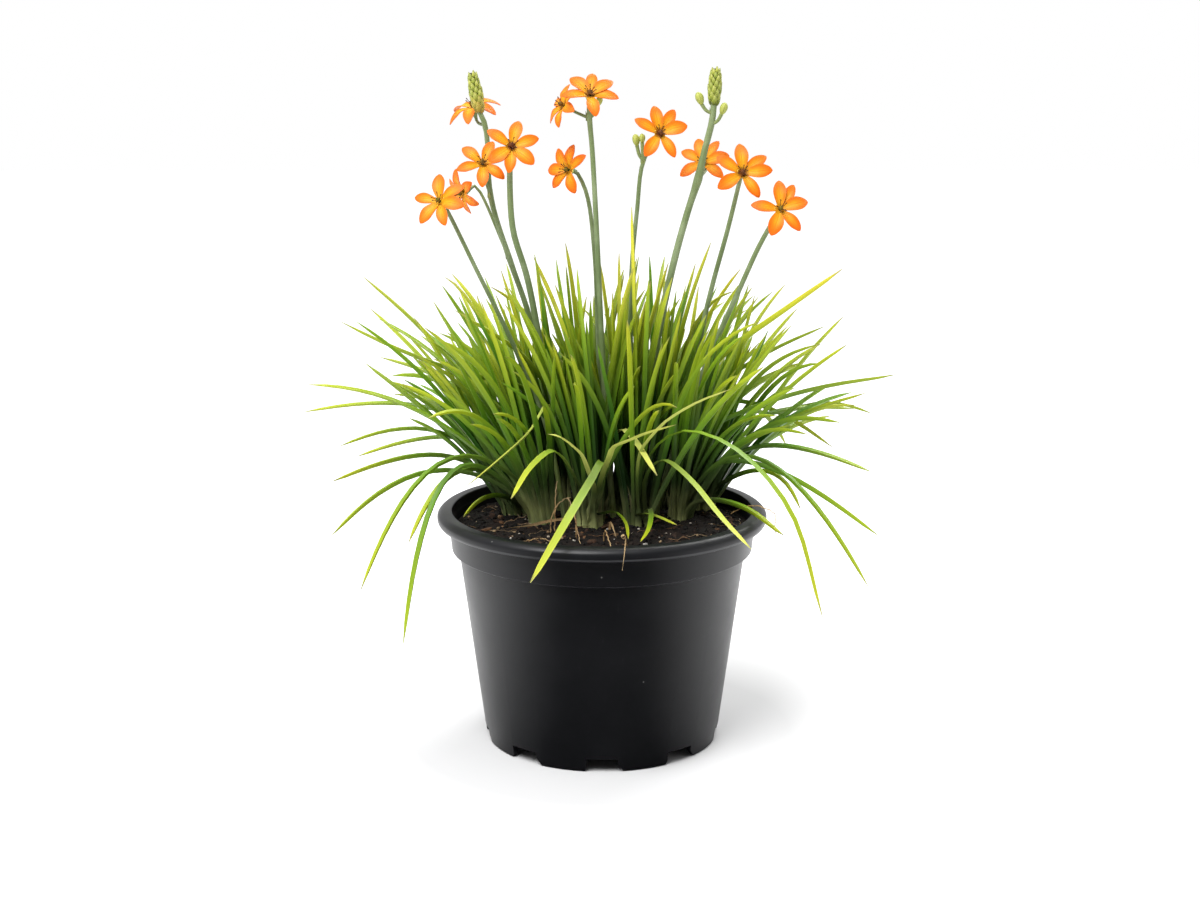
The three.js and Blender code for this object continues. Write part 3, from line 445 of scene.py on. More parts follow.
def filler(draws, taken, tuft, low=88, high=148, gap=LEAF_GAP, own_gap=TUFT_GAP, outward=1.0, stray=0.3,
           stiff=0.0, front=-200):
    """A leaf drawn by the seeded rule. A lower outward leans it less to the sides, stray turns it anywhere,
    stiff takes its arch out, and front is how far forward its tip may be."""
    cx, cy = TUFTS[tuft - 1]
    for _ in range(TRIES_PER_LEAF):
        u, v = draws.in_disc()
        p, q = draws.in_disc()
        root = np.array((cx + ROOT_SPREAD * u, cy + ROOT_SPREAD * v, LEAF_START_HEIGHT))
        from_heart = (cy - CLUMP_HEART[1]) / DEPTH_SPREAD
        out = np.array((outward * (cx - CLUMP_HEART[0]) / SIDE_SPREAD + 0.34 * u + stray * p,
                        from_heart * (FRONT_LEAN if from_heart < 0 else 1) + 0.34 * v + stray * q))
        spread = max(0.01, math.sqrt(out[0] ** 2 + out[1] ** 2))
        lean = min(1, spread)
        length = low + (high - low) * draws.share()
        reach = length * (0.06 + 0.72 * lean)
        share = 0.12 + 0.36 * draws.share()
        height = length * (0.66 - 0.1 * lean)
        tip_height = length * (0.96 - lean * (0.2 + 0.5 * draws.share()))
        roll = draws.roll(0.75)
        aim = np.append(out / spread, 0)
        peak = root + share * reach * aim + (0, 0, height)
        tip = root + reach * aim + (0, 0, tip_height)
        peak += stiff * ((root + tip) / 2 - peak)
        line = arch(root, peak, tip, TRIED_SPANS)
        inside = tip[1] > front and abs(tip[0]) < TIP_LIMITS[0] and abs(tip[1]) < TIP_LIMITS[1]
        if inside and misses_pot(line) and taken.clear_of(line, tuft, gap, own_gap):
            taken.add(tuft, line, LEAF_GAP / 2)
            return arch(root, peak, tip, DRAWN_SPANS), roll, lean
    return None


def plan_leaves(inner_count):
    """Every leaf: its tuft, line, roll, width share and yellowness"""
    taken = TakenLines()
    for number in range(1, len(STEMS) + 1):
        points = stem_points(number)
        line = np.vstack([[points[0][0], points[0][1], CROWN_BOTTOM], smooth_line(points, len(points))])
        taken.add(STEM_OWNER + number, line, STEMS[number - 1][0] + STEM_KEEP)
    for number, path in enumerate(DRY_LEAVES):
        taken.add(DRY_OWNER + number, path, DRY_KEEP)
    draws, looks = Draws("leaves"), Draws("looks")
    leaves = []
    for row, (width, tone) in zip(BENT_LEAVES, BENT_LOOKS):
        line, roll = place_long(draws, taken, row, bent_line)
        leaves.append((row[0], line, roll, width, tone))
    for row in ARCHED_LEAVES:
        line, roll = place_long(draws, taken, row, arched_line)
        leaves.append((row[0], line, roll, looks.between(0.9, 1.1), looks.between(0.45, 0.85)))
    for _ in range(LEAVES_PER_TUFT):
        for tuft in range(1, len(TUFTS) + 1):
            found = filler(draws, taken, tuft)
            if found:
                line, roll, lean = found
                leaves.append((tuft, line, roll, looks.between(0.85, 1.15),
                               looks.between(0.15, 0.6) + 0.3 * lean))
    for number in range(inner_count):
        tuft = 1 + number % len(TUFTS)
        found = filler(looks, taken, tuft, **INNER_RULE)
        if found:
            line, roll, lean = found
            leaves.append((tuft, line, roll, looks.between(0.85, 1.05), looks.between(0, 0.85)))
    for tuft, width, tone, *points in FRONT_LEAVES:
        x, y = TUFTS[tuft - 1]
        foot = [(x, y - 4, LEAF_ROOT_HEIGHT), (x, y - 4, LEAF_START_HEIGHT)]
        leaves.append((tuft, smooth_line(foot + points, 60), 0.2, width, tone))
    return leaves


# Stems and flowers share these

def stalk_end(flower):
    return np.array(flower[1], float) - unit(flower[2]) * (FLOWER_BACK + 0.3)


def stem_points(number):
    points = [np.array(point, float) for point in STEMS[number - 1][2]]
    for flower in FLOWERS:
        if flower[0] == number and not flower[5]:
            end = stalk_end(flower)
            points += [end - unit(flower[2]) * 3, end]
    return points


def flower_frame(facing):
    """The way a flower faces, and up and right across it"""
    axis = unit(facing)
    up = unit(UP - axis * axis[2])
    return axis, up, np.cross(up, axis)


# Modelling

def clear_selection():
    if bpy.context.object and bpy.context.object.mode != "OBJECT":
        bpy.ops.object.mode_set(mode="OBJECT")
    bpy.ops.object.select_all(action="DESELECT")


def make_active(obj):
    clear_selection()
    obj.select_set(True)
    bpy.context.view_layer.objects.active = obj


def added(operator, **values):
    """The object that one of Blender's operators adds"""
    clear_selection()
    operator(**values)
    return bpy.context.object


def new_object(name, points, edges, faces):
    mesh = bpy.data.meshes.new(name)
    mesh.from_pydata(points, edges, faces)
    obj = bpy.data.objects.new(name, mesh)
    bpy.context.scene.collection.objects.link(obj)
    make_active(obj)
    return obj


def edit(kind="VERT"):
    """Edit mode with all of the mesh selected"""
    bpy.ops.object.mode_set(mode="EDIT")
    bpy.ops.mesh.select_mode(type=kind)
    bpy.ops.mesh.select_all(action="SELECT")


def close_up():
    """Turn a mesh's faces outward and leave edit mode"""
    bpy.ops.mesh.select_all(action="SELECT")
    bpy.ops.mesh.normals_make_consistent(inside=False)
    bpy.ops.object.mode_set(mode="OBJECT")


def pick(obj, test, kind="verts"):
    """Leaves only the vertices, edges or faces that pass a test selected"""
    mesh = bmesh.from_edit_mesh(obj.data)
    for group in (mesh.verts, mesh.edges, mesh.faces):
        for element in group:
            element.select = False
    for element in getattr(mesh, kind):
        if test(element):
            element.select_set(True)
    mesh.select_flush_mode()
    bmesh.update_edit_mesh(obj.data)


def resize(x, y):
    bpy.ops.transform.resize(value=(x, y, 1), center_override=(0, 0, 0))


def blank_of(operator, modelling=None, **values):
    """The points and faces of a shape that is modelled at the origin and then leaves the scene"""
    obj = added(operator, **values)
    bpy.ops.object.transform_apply(location=True)
    if modelling:
        edit("EDGE")
        modelling(obj)
        bpy.ops.object.mode_set(mode="OBJECT")
    mesh = obj.data
    points = np.array([vert.co[:] for vert in mesh.vertices])
    faces = [tuple(face.vertices) for face in mesh.polygons]
    bpy.data.objects.remove(obj)
    bpy.data.meshes.remove(mesh)
    return points, faces


def tube_blank(sides, spans, channel=None):
    """A tube of unit radius that stands from 0 to 1, cut into spans. With a channel its section is a leaf's:
    pressed in along the top and, with six sides, rounded below."""
    def cut(obj):
        pick(obj, lambda edge: abs(edge.verts[0].co.z - edge.verts[1].co.z) > 0.5, "edges")
        bpy.ops.mesh.subdivide(number_cuts=spans - 1)
        if channel is None:
            return
        bpy.ops.mesh.select_mode(type="VERT")
        pick(obj, lambda vert: vert.co.y > 0.9)
        bpy.ops.transform.translate(value=(0, channel - 1, 0))
        if sides == 6:
            pick(obj, lambda vert: 0.4 < vert.co.y < 0.6)
            bpy.ops.transform.translate(value=(0, -0.35, 0))
            resize(1.15, 1)
            pick(obj, lambda vert: -0.6 < vert.co.y < -0.4)
            resize(0.76, 1.4)

    return blank_of(bpy.ops.mesh.primitive_cylinder_add, cut, vertices=sides, radius=1, depth=1,
                    end_fill_type="NGON", location=(0, 0, 0.5))


def ball_blank(segments, rings):
    return blank_of(bpy.ops.mesh.primitive_uv_sphere_add, segments=segments, ring_count=rings, radius=1)


def chip_blank():
    """A flat flake of bark with chamfered edges"""
    def chamfer(_):
        bpy.ops.mesh.bevel(offset=0.35, segments=1, affect="EDGES")

    return blank_of(bpy.ops.mesh.primitive_cube_add, chamfer, size=2)


def petal_blank():
    """A sheet 6 faces across, from -1 to 1, and 11 along, from 0 to 1"""
    def slide(_):
        bpy.ops.transform.translate(value=(0, 1, 0))
        resize(1, 0.5)

    return blank_of(bpy.ops.mesh.primitive_grid_add, slide, x_subdivisions=6, y_subdivisions=11, size=2)


def lay(blank, path, half_width, half_depth, hint, roll=0.0, twist=0.0):
    """A blank laid along a path, with its sizes and its turn given at each station"""
    points = blank[0]
    along = tangents(path)
    side = hint - along * (along @ hint)[:, None]
    side /= np.linalg.norm(side, axis=1)[:, None]
    face = np.cross(side, along)
    angle = (roll + twist * np.linspace(0, 1, len(path)))[:, None]
    turned_side = side * np.cos(angle) + face * np.sin(angle)
    turned_face = face * np.cos(angle) - side * np.sin(angle)
    ring = np.rint(points[:, 2] * (len(path) - 1)).astype(int)
    width, depth = (np.broadcast_to(size, len(path))[ring][:, None] for size in (half_width, half_depth))
    return (path[ring] + turned_side[ring] * points[:, :1] * width
            - turned_face[ring] * points[:, 1:2] * depth)


def placed(middle, axes, sizes):
    """Points at the given sizes along three axes from a middle"""
    return middle + sum(np.reshape(size, (-1, 1)) * axis for axis, size in zip(axes, sizes))


def heading_at(turn, first, second):
    """The direction at a turn from the first of two axes towards the second"""
    return first * math.cos(turn) + second * math.sin(turn)


def sideways(path):
    """The level direction across a leaf's run"""
    run = path[-1] - path[0]
    return unit((-run[1], run[0], 0))


def lobed(blank, depth, power):
    """How far a body of three lobes reaches at each point, and how deep in a seam the point is"""
    seam = np.abs(np.cos(1.5 * np.arctan2(blank[0][:, 1], blank[0][:, 0]))) ** power
    return 1 - depth * seam, seam


def part(place, blank, *channels):
    """Laid points, their blank, and its mark: four numbers, each for the whole part or for every point"""
    return place, blank, np.stack([np.broadcast_to(channel, len(place)) for channel in channels], axis=1)


def tube_part(blank, path, radii, *channels):
    heading = unit(path[1] - path[0])
    hint = np.cross((0, 1, 0) if abs(heading[2]) > 0.9 else UP, heading)
    return part(lay(blank, path, radii, radii, unit(hint)), blank, *channels)


def along_of(blank):
    return blank[0][:, 2]


def across_of(blank):
    return np.abs(blank[0][:, 0])


def build(name, parts, nodes, finish, smooth_angle=60, thickness=0.0):
    """One piece from its laid parts, which are in millimetres"""
    points, faces, numbers, total = [], [], [], 0
    for place, blank, mark in parts:
        points.append(place * MM)
        numbers.append(mark)
        faces += [tuple(index + total for index in face) for face in blank[1]]
        total += len(place)
    obj = new_object(name, np.vstack(points).tolist(), [], faces)
    mark = obj.data.attributes.new("mark", "FLOAT_COLOR", "POINT")
    mark.data.foreach_set("color", np.vstack(numbers).astype(np.float32).ravel())
    if thickness:
        apply_modifier(obj, "SOLIDIFY", thickness=thickness, offset=0)
    edit()
    close_up()
    settle(obj, nodes, finish, smooth_angle)
    return obj


def settle(obj, nodes, finish, smooth_angle=60):
    make_active(obj)
    bpy.ops.object.shade_smooth_by_angle(angle=math.radians(smooth_angle))
    obj.data.materials.clear()
    obj.data.materials.append(finish)
    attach(obj, "root")
    if nodes:
        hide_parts(*nodes)


def apply_modifier(obj, kind, **values):
    make_active(obj)
    modifier = obj.modifiers.new(kind.title(), kind)
    for key, value in values.items():
        setattr(modifier, key, value)
    bpy.ops.object.modifier_apply(modifier=modifier.name)


# Finishes

class Nodes:
    """Adds shader nodes to a material or to the world"""

    def __init__(self, owner):
        owner.use_nodes = True
        self.owner, self.tree = owner, owner.node_tree

    def node(self, kind, inputs=(), **values):
        made = self.tree.nodes.new("ShaderNode" + kind)
        for key, value in values.items():
            setattr(made, key, value)
        for key, value in dict(inputs).items():
            self.put(made.inputs[key], value)
        return made

    def put(self, socket, value):
        if isinstance(value, bpy.types.NodeSocket):
            self.tree.links.new(value, socket)
        elif socket.type == "RGBA" and len(value) == 3:
            socket.default_value = (*value, 1)
        else:
            socket.default_value = value

    def place(self, scale=(1, 1, 1)):
        coordinates = self.node("TexCoord").outputs["Object"]
        return self.node("Mapping", {"Vector": coordinates, "Scale": scale}).outputs["Vector"]

    def split(self, vector):
        return self.node("SeparateXYZ", {"Vector": vector}).outputs

    def length(self, vector):
        return self.node("VectorMath", {0: vector}, operation="LENGTH").outputs["Value"]

    def mark(self):
        found = self.node("Attribute", attribute_name="mark")
        split = self.node("SeparateColor", {"Color": found.outputs["Color"]})
        return (*(split.outputs[name] for name in ("Red", "Green", "Blue")), found.outputs["Alpha"])

    def math(self, kind, first, second=0.0):
        return self.node("Math", {0: first, 1: second}, operation=kind).outputs[0]

    def times(self, first, second):
        return self.math("MULTIPLY", first, second)

    def noise(self, vector, scale, detail=3.0, rough=0.55):
        return self.node("TexNoise", {"Vector": vector, "Scale": scale, "Detail": detail,
                                      "Roughness": rough}).outputs["Fac"]

    def streaks(self, across, along, third, scale, detail, rough=0.55):
        """Noise drawn out along a blade, from two pairs of a mark and how fast it runs, and a third value"""
        vector = self.node("CombineXYZ", {"X": self.times(*across), "Y": self.times(*along), "Z": third})
        return self.noise(vector.outputs["Vector"], scale, detail, rough)

    def remap(self, value, low, high, first=0.0, last=1.0, **values):
        return self.node("MapRange", {"Value": value, "From Min": low, "From Max": high, "To Min": first,
                                      "To Max": last}, clamp=True, **values).outputs["Result"]

    def mix(self, share, first, second, kind="MIX"):
        return self.node("Mix", {0: share, 6: first, 7: second}, data_type="RGBA", blend_type=kind).outputs[2]

    def tint(self, colour, factor):
        return self.mix(1.0, colour, factor, "MULTIPLY")

    def over(self, colour, share, second, most=None):
        """A colour with a second laid over it by a share, or by a part of that share"""
        return self.mix(share if most is None else self.times(share, most), colour, second)

    def ramp(self, value, *stops):
        made = self.node("ValToRGB", {"Fac": value})
        band = made.color_ramp.elements
        while len(band) < len(stops):
            band.new(0.5)
        for element, (position, colour) in zip(band, stops):
            element.position = position
            element.color = (*colour, 1)
        return made.outputs["Color"]

    def bump(self, height, distance, strength=1.0):
        made = self.node("Bump", {"Height": height, "Distance": distance, "Strength": strength})
        self.put(self.shader.inputs["Normal"], made.outputs["Normal"])

    def done(self, colour, rough=None):
        self.put(self.shader.inputs["Base Color"], colour)
        if rough is not None:
            self.put(self.shader.inputs["Roughness"], rough)
        return self.owner


def new_finish(name, gloss, **inputs):
    """A new material's nodes, with the strength of its reflections and other values of its shader"""
    n = Nodes(bpy.data.materials.new(name))
    n.shader = n.tree.nodes["Principled BSDF"]
    for key, value in {"Specular_IOR_Level": gloss, "Metallic": 0, **inputs}.items():
        n.shader.inputs[key.replace("_", " ")].default_value = value
    return n


def plastic_finish(settings):
    """Near-black moulded plastic with a faint grain, soft scuffs, painted highlight lines along two moulded
    edges and a few pale specks
    """
    n = new_finish("pot_plastic", settings.gloss)
    place = n.place()
    grain, cloud = n.noise(place, 2600, 2), n.noise(place, 26, 4)
    scuff = n.noise(n.place((1, 1, 0.12)), 420, 3, 0.7)
    dust = n.node("TexVoronoi", {"Vector": place, "Scale": 95.0, "Randomness": 1.0}, feature="F1").outputs
    chance = n.node("SeparateColor", {"Color": dust["Color"]}).outputs["Red"]
    speck = n.times(n.remap(dust["Distance"], 0.045, 0.03), n.math("GREATER_THAN", chance, 0.93))
    base = settings.colour
    colour = n.over(base, n.remap(cloud, 0.35, 0.7), [1.35 * value for value in base])
    colour = n.over(colour, n.remap(scuff, 0.66, 0.74), (0.03, 0.031, 0.033), 0.18)
    # Painted highlights: a thin pale line along each moulded edge, where the edge would catch the light
    for edge in EDGE_HIGHLIGHT_HEIGHTS:
        off = n.math("ABSOLUTE", n.math("SUBTRACT", n.split(place)["Z"], edge * MM))
        colour = n.over(colour, n.remap(off, 0.0007, 0.0003), (0.05, 0.051, 0.054),
                        n.remap(cloud, 0.3, 0.6, 0.35, 0.9))
    colour = n.over(colour, speck, (0.2, 0.2, 0.19), 0.5)
    n.bump(grain, 0.00004, 0.5)
    return n.done(colour, n.remap(cloud, 0.3, 0.75, settings.roughness - 0.04, settings.roughness + 0.07))


def soil_finish(settings):
    n = new_finish("potting_soil", 0.25)
    place = n.place()
    lump, patch = n.noise(place, 420, 5, 0.7), n.noise(place, 75, 3)
    colour = n.over(settings.colour, n.remap(patch, 0.35, 0.7), (0.012, 0.006, 0.004))
    colour = n.over(colour, n.remap(lump, 0.62, 0.82), (0.03, 0.019, 0.013))
    n.bump(lump, 0.0011)
    return n.done(colour, n.remap(lump, 0.3, 0.7, 0.95, 0.7))


def litter_finish():
    """Crumbs, bark, fibres and specks by their mark: 0 near-black, then brown, straw and white"""
    n = new_finish("soil_litter", 0.3)
    tone = n.mark()[0]
    grain = n.noise(n.place(), 900, 3, 0.7)
    colour = n.ramp(tone, (0, (0.004, 0.003, 0.002)), (0.3, (0.014, 0.008, 0.005)),
                    (0.5, (0.045, 0.021, 0.012)), (0.7, (0.2, 0.1, 0.045)), (0.85, (0.42, 0.3, 0.17)),
                    (1, (0.75, 0.72, 0.66)))
    colour = n.mix(n.remap(grain, 0.4, 0.7), n.tint(colour, (0.45, 0.45, 0.45)), colour)
    n.bump(grain, 0.0003)
    return n.done(colour, 0.85)


def leaf_finish(settings):
    """Waxy green by the mark: share along the blade, distance from its midline, yellowness and dryness"""
    n = new_finish("leaf_blade", 0.28)
    along, across, tone, dry = n.mark()
    place = n.place()
    high = n.split(place)["Z"]
    streak = n.streaks((across, 9), (along, 5), n.times(tone, 97), 1.6, 3)
    # Painted light and shade by height: the green is darker low in the clump and lighter high up, and a
    # painted shadow darkens it further low inside the clump's middle
    lit = n.math("MAXIMUM", n.remap(high, 0.125, 0.245), n.remap(along, 0.3, 0.95, 0, 0.74))
    green = n.ramp(lit, (0, (0.07, 0.125, 0.03)), (0.12, (0.05, 0.115, 0.014)), (0.34, settings.deep),
                   (0.72, settings.lit_high), (1, settings.crest))
    middle = n.node("Mapping", {"Vector": place, "Location": (-0.004, -0.03, 0), "Scale": (0.8, 1, 0)})
    inside = n.remap(n.length(middle.outputs["Vector"]), 0.054, 0.034)
    shadow = n.times(inside, n.remap(high, 0.225, 0.16, 0, 0.92))
    green = n.over(green, shadow, n.tint(green, (0.08, 0.16, 0.1)))
    colour = n.mix(n.remap(tone, 0, 1), n.tint(green, (0.36, 0.62, 0.7)), n.tint(green, (1.7, 1.22, 1.7)))
    colour = n.over(colour, n.remap(tone, 1, 1.5), settings.pale, n.remap(along, 0.3, 0.6, 0, 0.8))
    colour = n.over(colour, n.remap(streak, 0.45, 0.7), n.tint(colour, (0.55, 0.66, 0.5)), 0.35)
    drift = n.remap(n.noise(place, 22, 2), 0.4, 0.65)
    colour = n.over(colour, drift, n.tint(colour, (1.2, 1.1, 1)), 0.35)
    # Painted highlight: the outer part of each leaf's width is lightened, as if rim-lit
    colour = n.over(colour, n.remap(across, 0.6, 0.95, 0, 0.55), n.tint(colour, (1.4, 1.25, 1.5)))
    foot = n.times(n.remap(high, 0.134, 0.114), n.remap(along, 0.32, 0.16))
    patches = n.remap(n.noise(place, 34, 2), 0.42, 0.62, 0.12)
    colour = n.over(colour, foot, settings.foot, patches)
    colour = n.over(colour, n.remap(along, 0.955, 0.995), (0.2, 0.17, 0.09),
                    n.remap(tone, 0.2, 0.8, 0.1, 0.7))
    straw = n.mix(n.remap(streak, 0.4, 0.62), (0.13, 0.1, 0.045), (0.4, 0.4, 0.2))
    n.bump(streak, 0.00012, 0.6)
    return n.done(n.over(colour, dry, straw), n.remap(streak, 0.3, 0.7, 0.36, 0.5))


def stem_finish(settings):
    """Grey-green with a bloom; the mark gives the share along, the turn round it, how much it is bud"""
    n = new_finish("stem_skin", 0.35)
    along, around, bud, _ = n.mark()
    streak = n.streaks((around, 16), (along, 7), bud, 1.4, 3)
    colour = n.ramp(along, (0, (0.24, 0.29, 0.08)), (0.25, (0.125, 0.18, 0.05)), (0.6, settings.colour),
                    (1, settings.top))
    colour = n.over(colour, n.remap(streak, 0.42, 0.66), n.tint(colour, (0.62, 0.7, 0.62)), 0.4)
    colour = n.over(colour, n.remap(n.noise(n.place(), 60, 3), 0.45, 0.7), (0.36, 0.42, 0.26), 0.35)
    skin = n.mix(n.remap(streak, 0.4, 0.6), (0.21, 0.25, 0.035), (0.4, 0.42, 0.09))
    n.bump(streak, 0.0001, 0.5)
    return n.done(n.over(colour, bud, skin), 0.55)


def petal_finish(settings):
    """Orange by the mark: share along, distance from the midrib, tone and how brown the throat is"""
    n = new_finish("petal_skin", 0.2)
    along, across, tone, brown = n.mark()
    vein = n.streaks((across, 7), (along, 1.6), n.times(tone, 61), 2.2, 2)
    first, last = (0, settings.throat), (1, settings.tip)
    edge = n.ramp(along, first, (0.25, (0.66, 0.19, 0.003)), (0.6, settings.blade), last)
    middle = n.ramp(along, first, (0.38, (0.72, 0.37, 0.009)), (0.72, (0.68, 0.18, 0.003)), last)
    streak = n.times(n.remap(across, 0.75, 0.1), n.remap(vein, 0.3, 0.65, 0.55))
    colour = n.mix(streak, edge, middle)
    colour = n.over(colour, n.remap(tone, 0, 1), n.tint(colour, (1, 0.68, 0.6)), 0.45)
    colour = n.over(colour, n.remap(across, 0.09, 0.03), (0.5, 0.1, 0.004),
                    n.remap(along, 0.95, 0.6, 0.15, 0.5))
    colour = n.over(colour, n.remap(across, 0.86, 1.0), (0.55, 0.13, 0.02), 0.4)
    colour = n.over(colour, n.remap(along, 0.16, 0.04), (0.12, 0.02, 0.004), brown)
    n.bump(vein, 0.00015, 0.5)
    return n.done(colour, 0.5)


def cup_finish():
    n = new_finish("flower_cup", 0.3)
    cloud = n.noise(n.place(), 500, 3)
    colour = n.ramp(n.mark()[0], (0, (0.2, 0.3, 0.07)), (0.6, (0.3, 0.36, 0.06)), (1, (0.75, 0.4, 0.02)))
    n.bump(cloud, 0.0001)
    return n.done(n.over(colour, n.remap(cloud, 0.4, 0.7, 0, 0.4), (0.14, 0.2, 0.04)), 0.55)


def heart_finish():
    """Olive to red-brown by the mark: share along, how brown, and how much it is stamen"""
    n = new_finish("flower_heart", 0.3)
    along, brown, stamen, _ = n.mark()
    cloud = n.noise(n.place(), 900, 3)
    colour = n.mix(brown, (0.2, 0.17, 0.012), (0.13, 0.028, 0.008))
    colour = n.over(colour, n.remap(cloud, 0.4, 0.65, 0, 0.6), n.tint(colour, (0.45, 0.45, 0.45)))
    thread = n.ramp(along, (0, (0.3, 0.12, 0.01)), (0.5, (0.09, 0.035, 0.006)), (1, (0.035, 0.014, 0.006)))
    n.bump(cloud, 0.0001)
    return n.done(n.over(colour, stamen, thread), 0.7)


def bud_finish(settings):
    """Yellow-green by the mark: share along a bud, height on the spike, less than 0 where it is browned,
    tone, and how much it is core"""
    n = new_finish("bud_skin", 0.35)
    along, height, tone, core = n.mark()
    cloud = n.noise(n.place(), 700, 3)
    colour = n.ramp(along, (0, (0.05, 0.06, 0.008)), (0.5, settings.colour), (0.85, (0.46, 0.46, 0.12)),
                    (1, (0.22, 0.2, 0.04)))
    colour = n.over(colour, tone, n.tint(colour, (0.5, 0.62, 0.5)), 0.7)
    colour = n.over(colour, n.remap(height, 0.05, -0.3, 0, 0.5), (0.5, 0.25, 0.03))
    colour = n.over(colour, n.remap(cloud, 0.45, 0.7, 0, 0.4), (0.15, 0.18, 0.02))
    n.bump(cloud, 0.0001)
    return n.done(n.over(colour, core, (0.05, 0.055, 0.012)), 0.5)


def dry_finish(settings):
    n = new_finish("dry_leaf", 0.2)
    along, across, tone, _ = n.mark()
    fibre = n.streaks((across, 8), (along, 5), tone, 2.5, 4, 0.7)
    colour = n.over(settings.colour, n.remap(fibre, 0.35, 0.65), (0.2, 0.11, 0.05))
    n.bump(fibre, 0.0003)
    return n.done(n.over(colour, n.remap(along, 0.5, 1.0, 0, 0.5), (0.6, 0.46, 0.26)), 0.8)


# What a user can change

def amount(name, description, default, **more):
    return bpy.props.FloatProperty(name=name, description=description, default=default, **more)


def how_many(name, description, default, least=0):
    return bpy.props.IntProperty(name=name, description=description, default=default, min=least)


def colour_of(name, description, default):
    return bpy.props.FloatVectorProperty(name=name, description=description, subtype="COLOR", size=3, min=0,
                                         max=1, default=default)


class StudioSettings(bpy.types.PropertyGroup):
    floor: colour_of("Floor", "Colour of the floor", (0.63, 0.63, 0.635))
    glow: amount("Glow", "How brightly the floor shines clear of the pot", 0.6, min=0)
    shade: amount("Shade", "Half the angle of floor before the pot that its plastic doesn't mirror",
                  math.radians(75), subtype="ANGLE")
    surround: amount("Surround", "Strength of the light from the sides and back", 0.88, min=0)
    front: amount("Front", "Strength of the light from behind the camera", 0.08, min=0)
    key: amount("Key light", "Power of the large lamp above the plant", 38.0, min=0, unit="POWER")
    lens: amount("Lens", "Focal length of the camera", 55.8, unit="CAMERA")


class PotSettings(bpy.types.PropertyGroup):
    height: amount("Height", "Height of the pot", POT_BOX[1].z, unit="LENGTH")
    steps: how_many("Steps", "Faces round the pot", 180, 36)
    colour: colour_of("Plastic", "Colour of the plastic", (0.0058, 0.006, 0.0072))
    roughness: amount("Roughness", "Roughness of the plastic", 0.35, subtype="FACTOR", min=0, max=1)
    gloss: amount("Gloss", "Strength of the plastic's reflections", 0.26, subtype="FACTOR", min=0, max=1)


class SoilSettings(bpy.types.PropertyGroup):
    colour: colour_of("Soil", "Colour of the soil between its crumbs", (0.004, 0.0027, 0.002))
    crumbs: how_many("Crumbs", "Loose crumbs on the soil", 1700)
    chips: how_many("Bark", "Chips of bark on the soil", 120)
    fibres: how_many("Fibres", "Pale root fibres on the soil", 46)


class LeafSettings(bpy.types.PropertyGroup):
    half_width: amount("Half width", "Half the width of a leaf", 0.00128, unit="LENGTH")
    inner: how_many("Inner leaves", "Leaves added between the others", 300)
    sheaths: how_many("Sheaths", "Papery sheaths round each tuft", 4)
    foot: colour_of("Foot", "Colour of a leaf's foot", (0.44, 0.47, 0.19))
    # The colours by height also carry painted shade low in the clump and painted light high up
    deep: colour_of("Deep", "Colour of a leaf low in the clump", (0.085, 0.22, 0.006))
    lit_high: colour_of("Young", "Colour of a leaf high in the clump", (0.245, 0.375, 0.009))
    crest: colour_of("Crest", "Colour of the highest leaves", (0.42, 0.5, 0.026))
    pale: colour_of("Pale", "Colour of the pale leaves in front", (0.62, 0.66, 0.16))


class StemSettings(bpy.types.PropertyGroup):
    colour: colour_of("Stem", "Colour of a stem's middle", (0.125, 0.175, 0.07))
    top: colour_of("Top", "Colour of a stem's top", (0.165, 0.215, 0.085))


class FlowerSettings(bpy.types.PropertyGroup):
    half_width: amount("Half width", "Half the width of the widest petals", 0.0035, unit="LENGTH")
    throat: colour_of("Throat", "Colour at a petal's foot", (0.66, 0.36, 0.006))
    blade: colour_of("Blade", "Colour of a petal's middle", (0.68, 0.135, 0.002))
    tip: colour_of("Tip", "Colour of a petal's tip", (0.66, 0.12, 0.002))


class BudSettings(bpy.types.PropertyGroup):
    colour: colour_of("Bud", "Colour of a closed bud", (0.32, 0.35, 0.04))


class DryLeafSettings(bpy.types.PropertyGroup):
    colour: colour_of("Straw", "Colour of a withered leaf", (0.5, 0.33, 0.15))


# Makers of the pieces

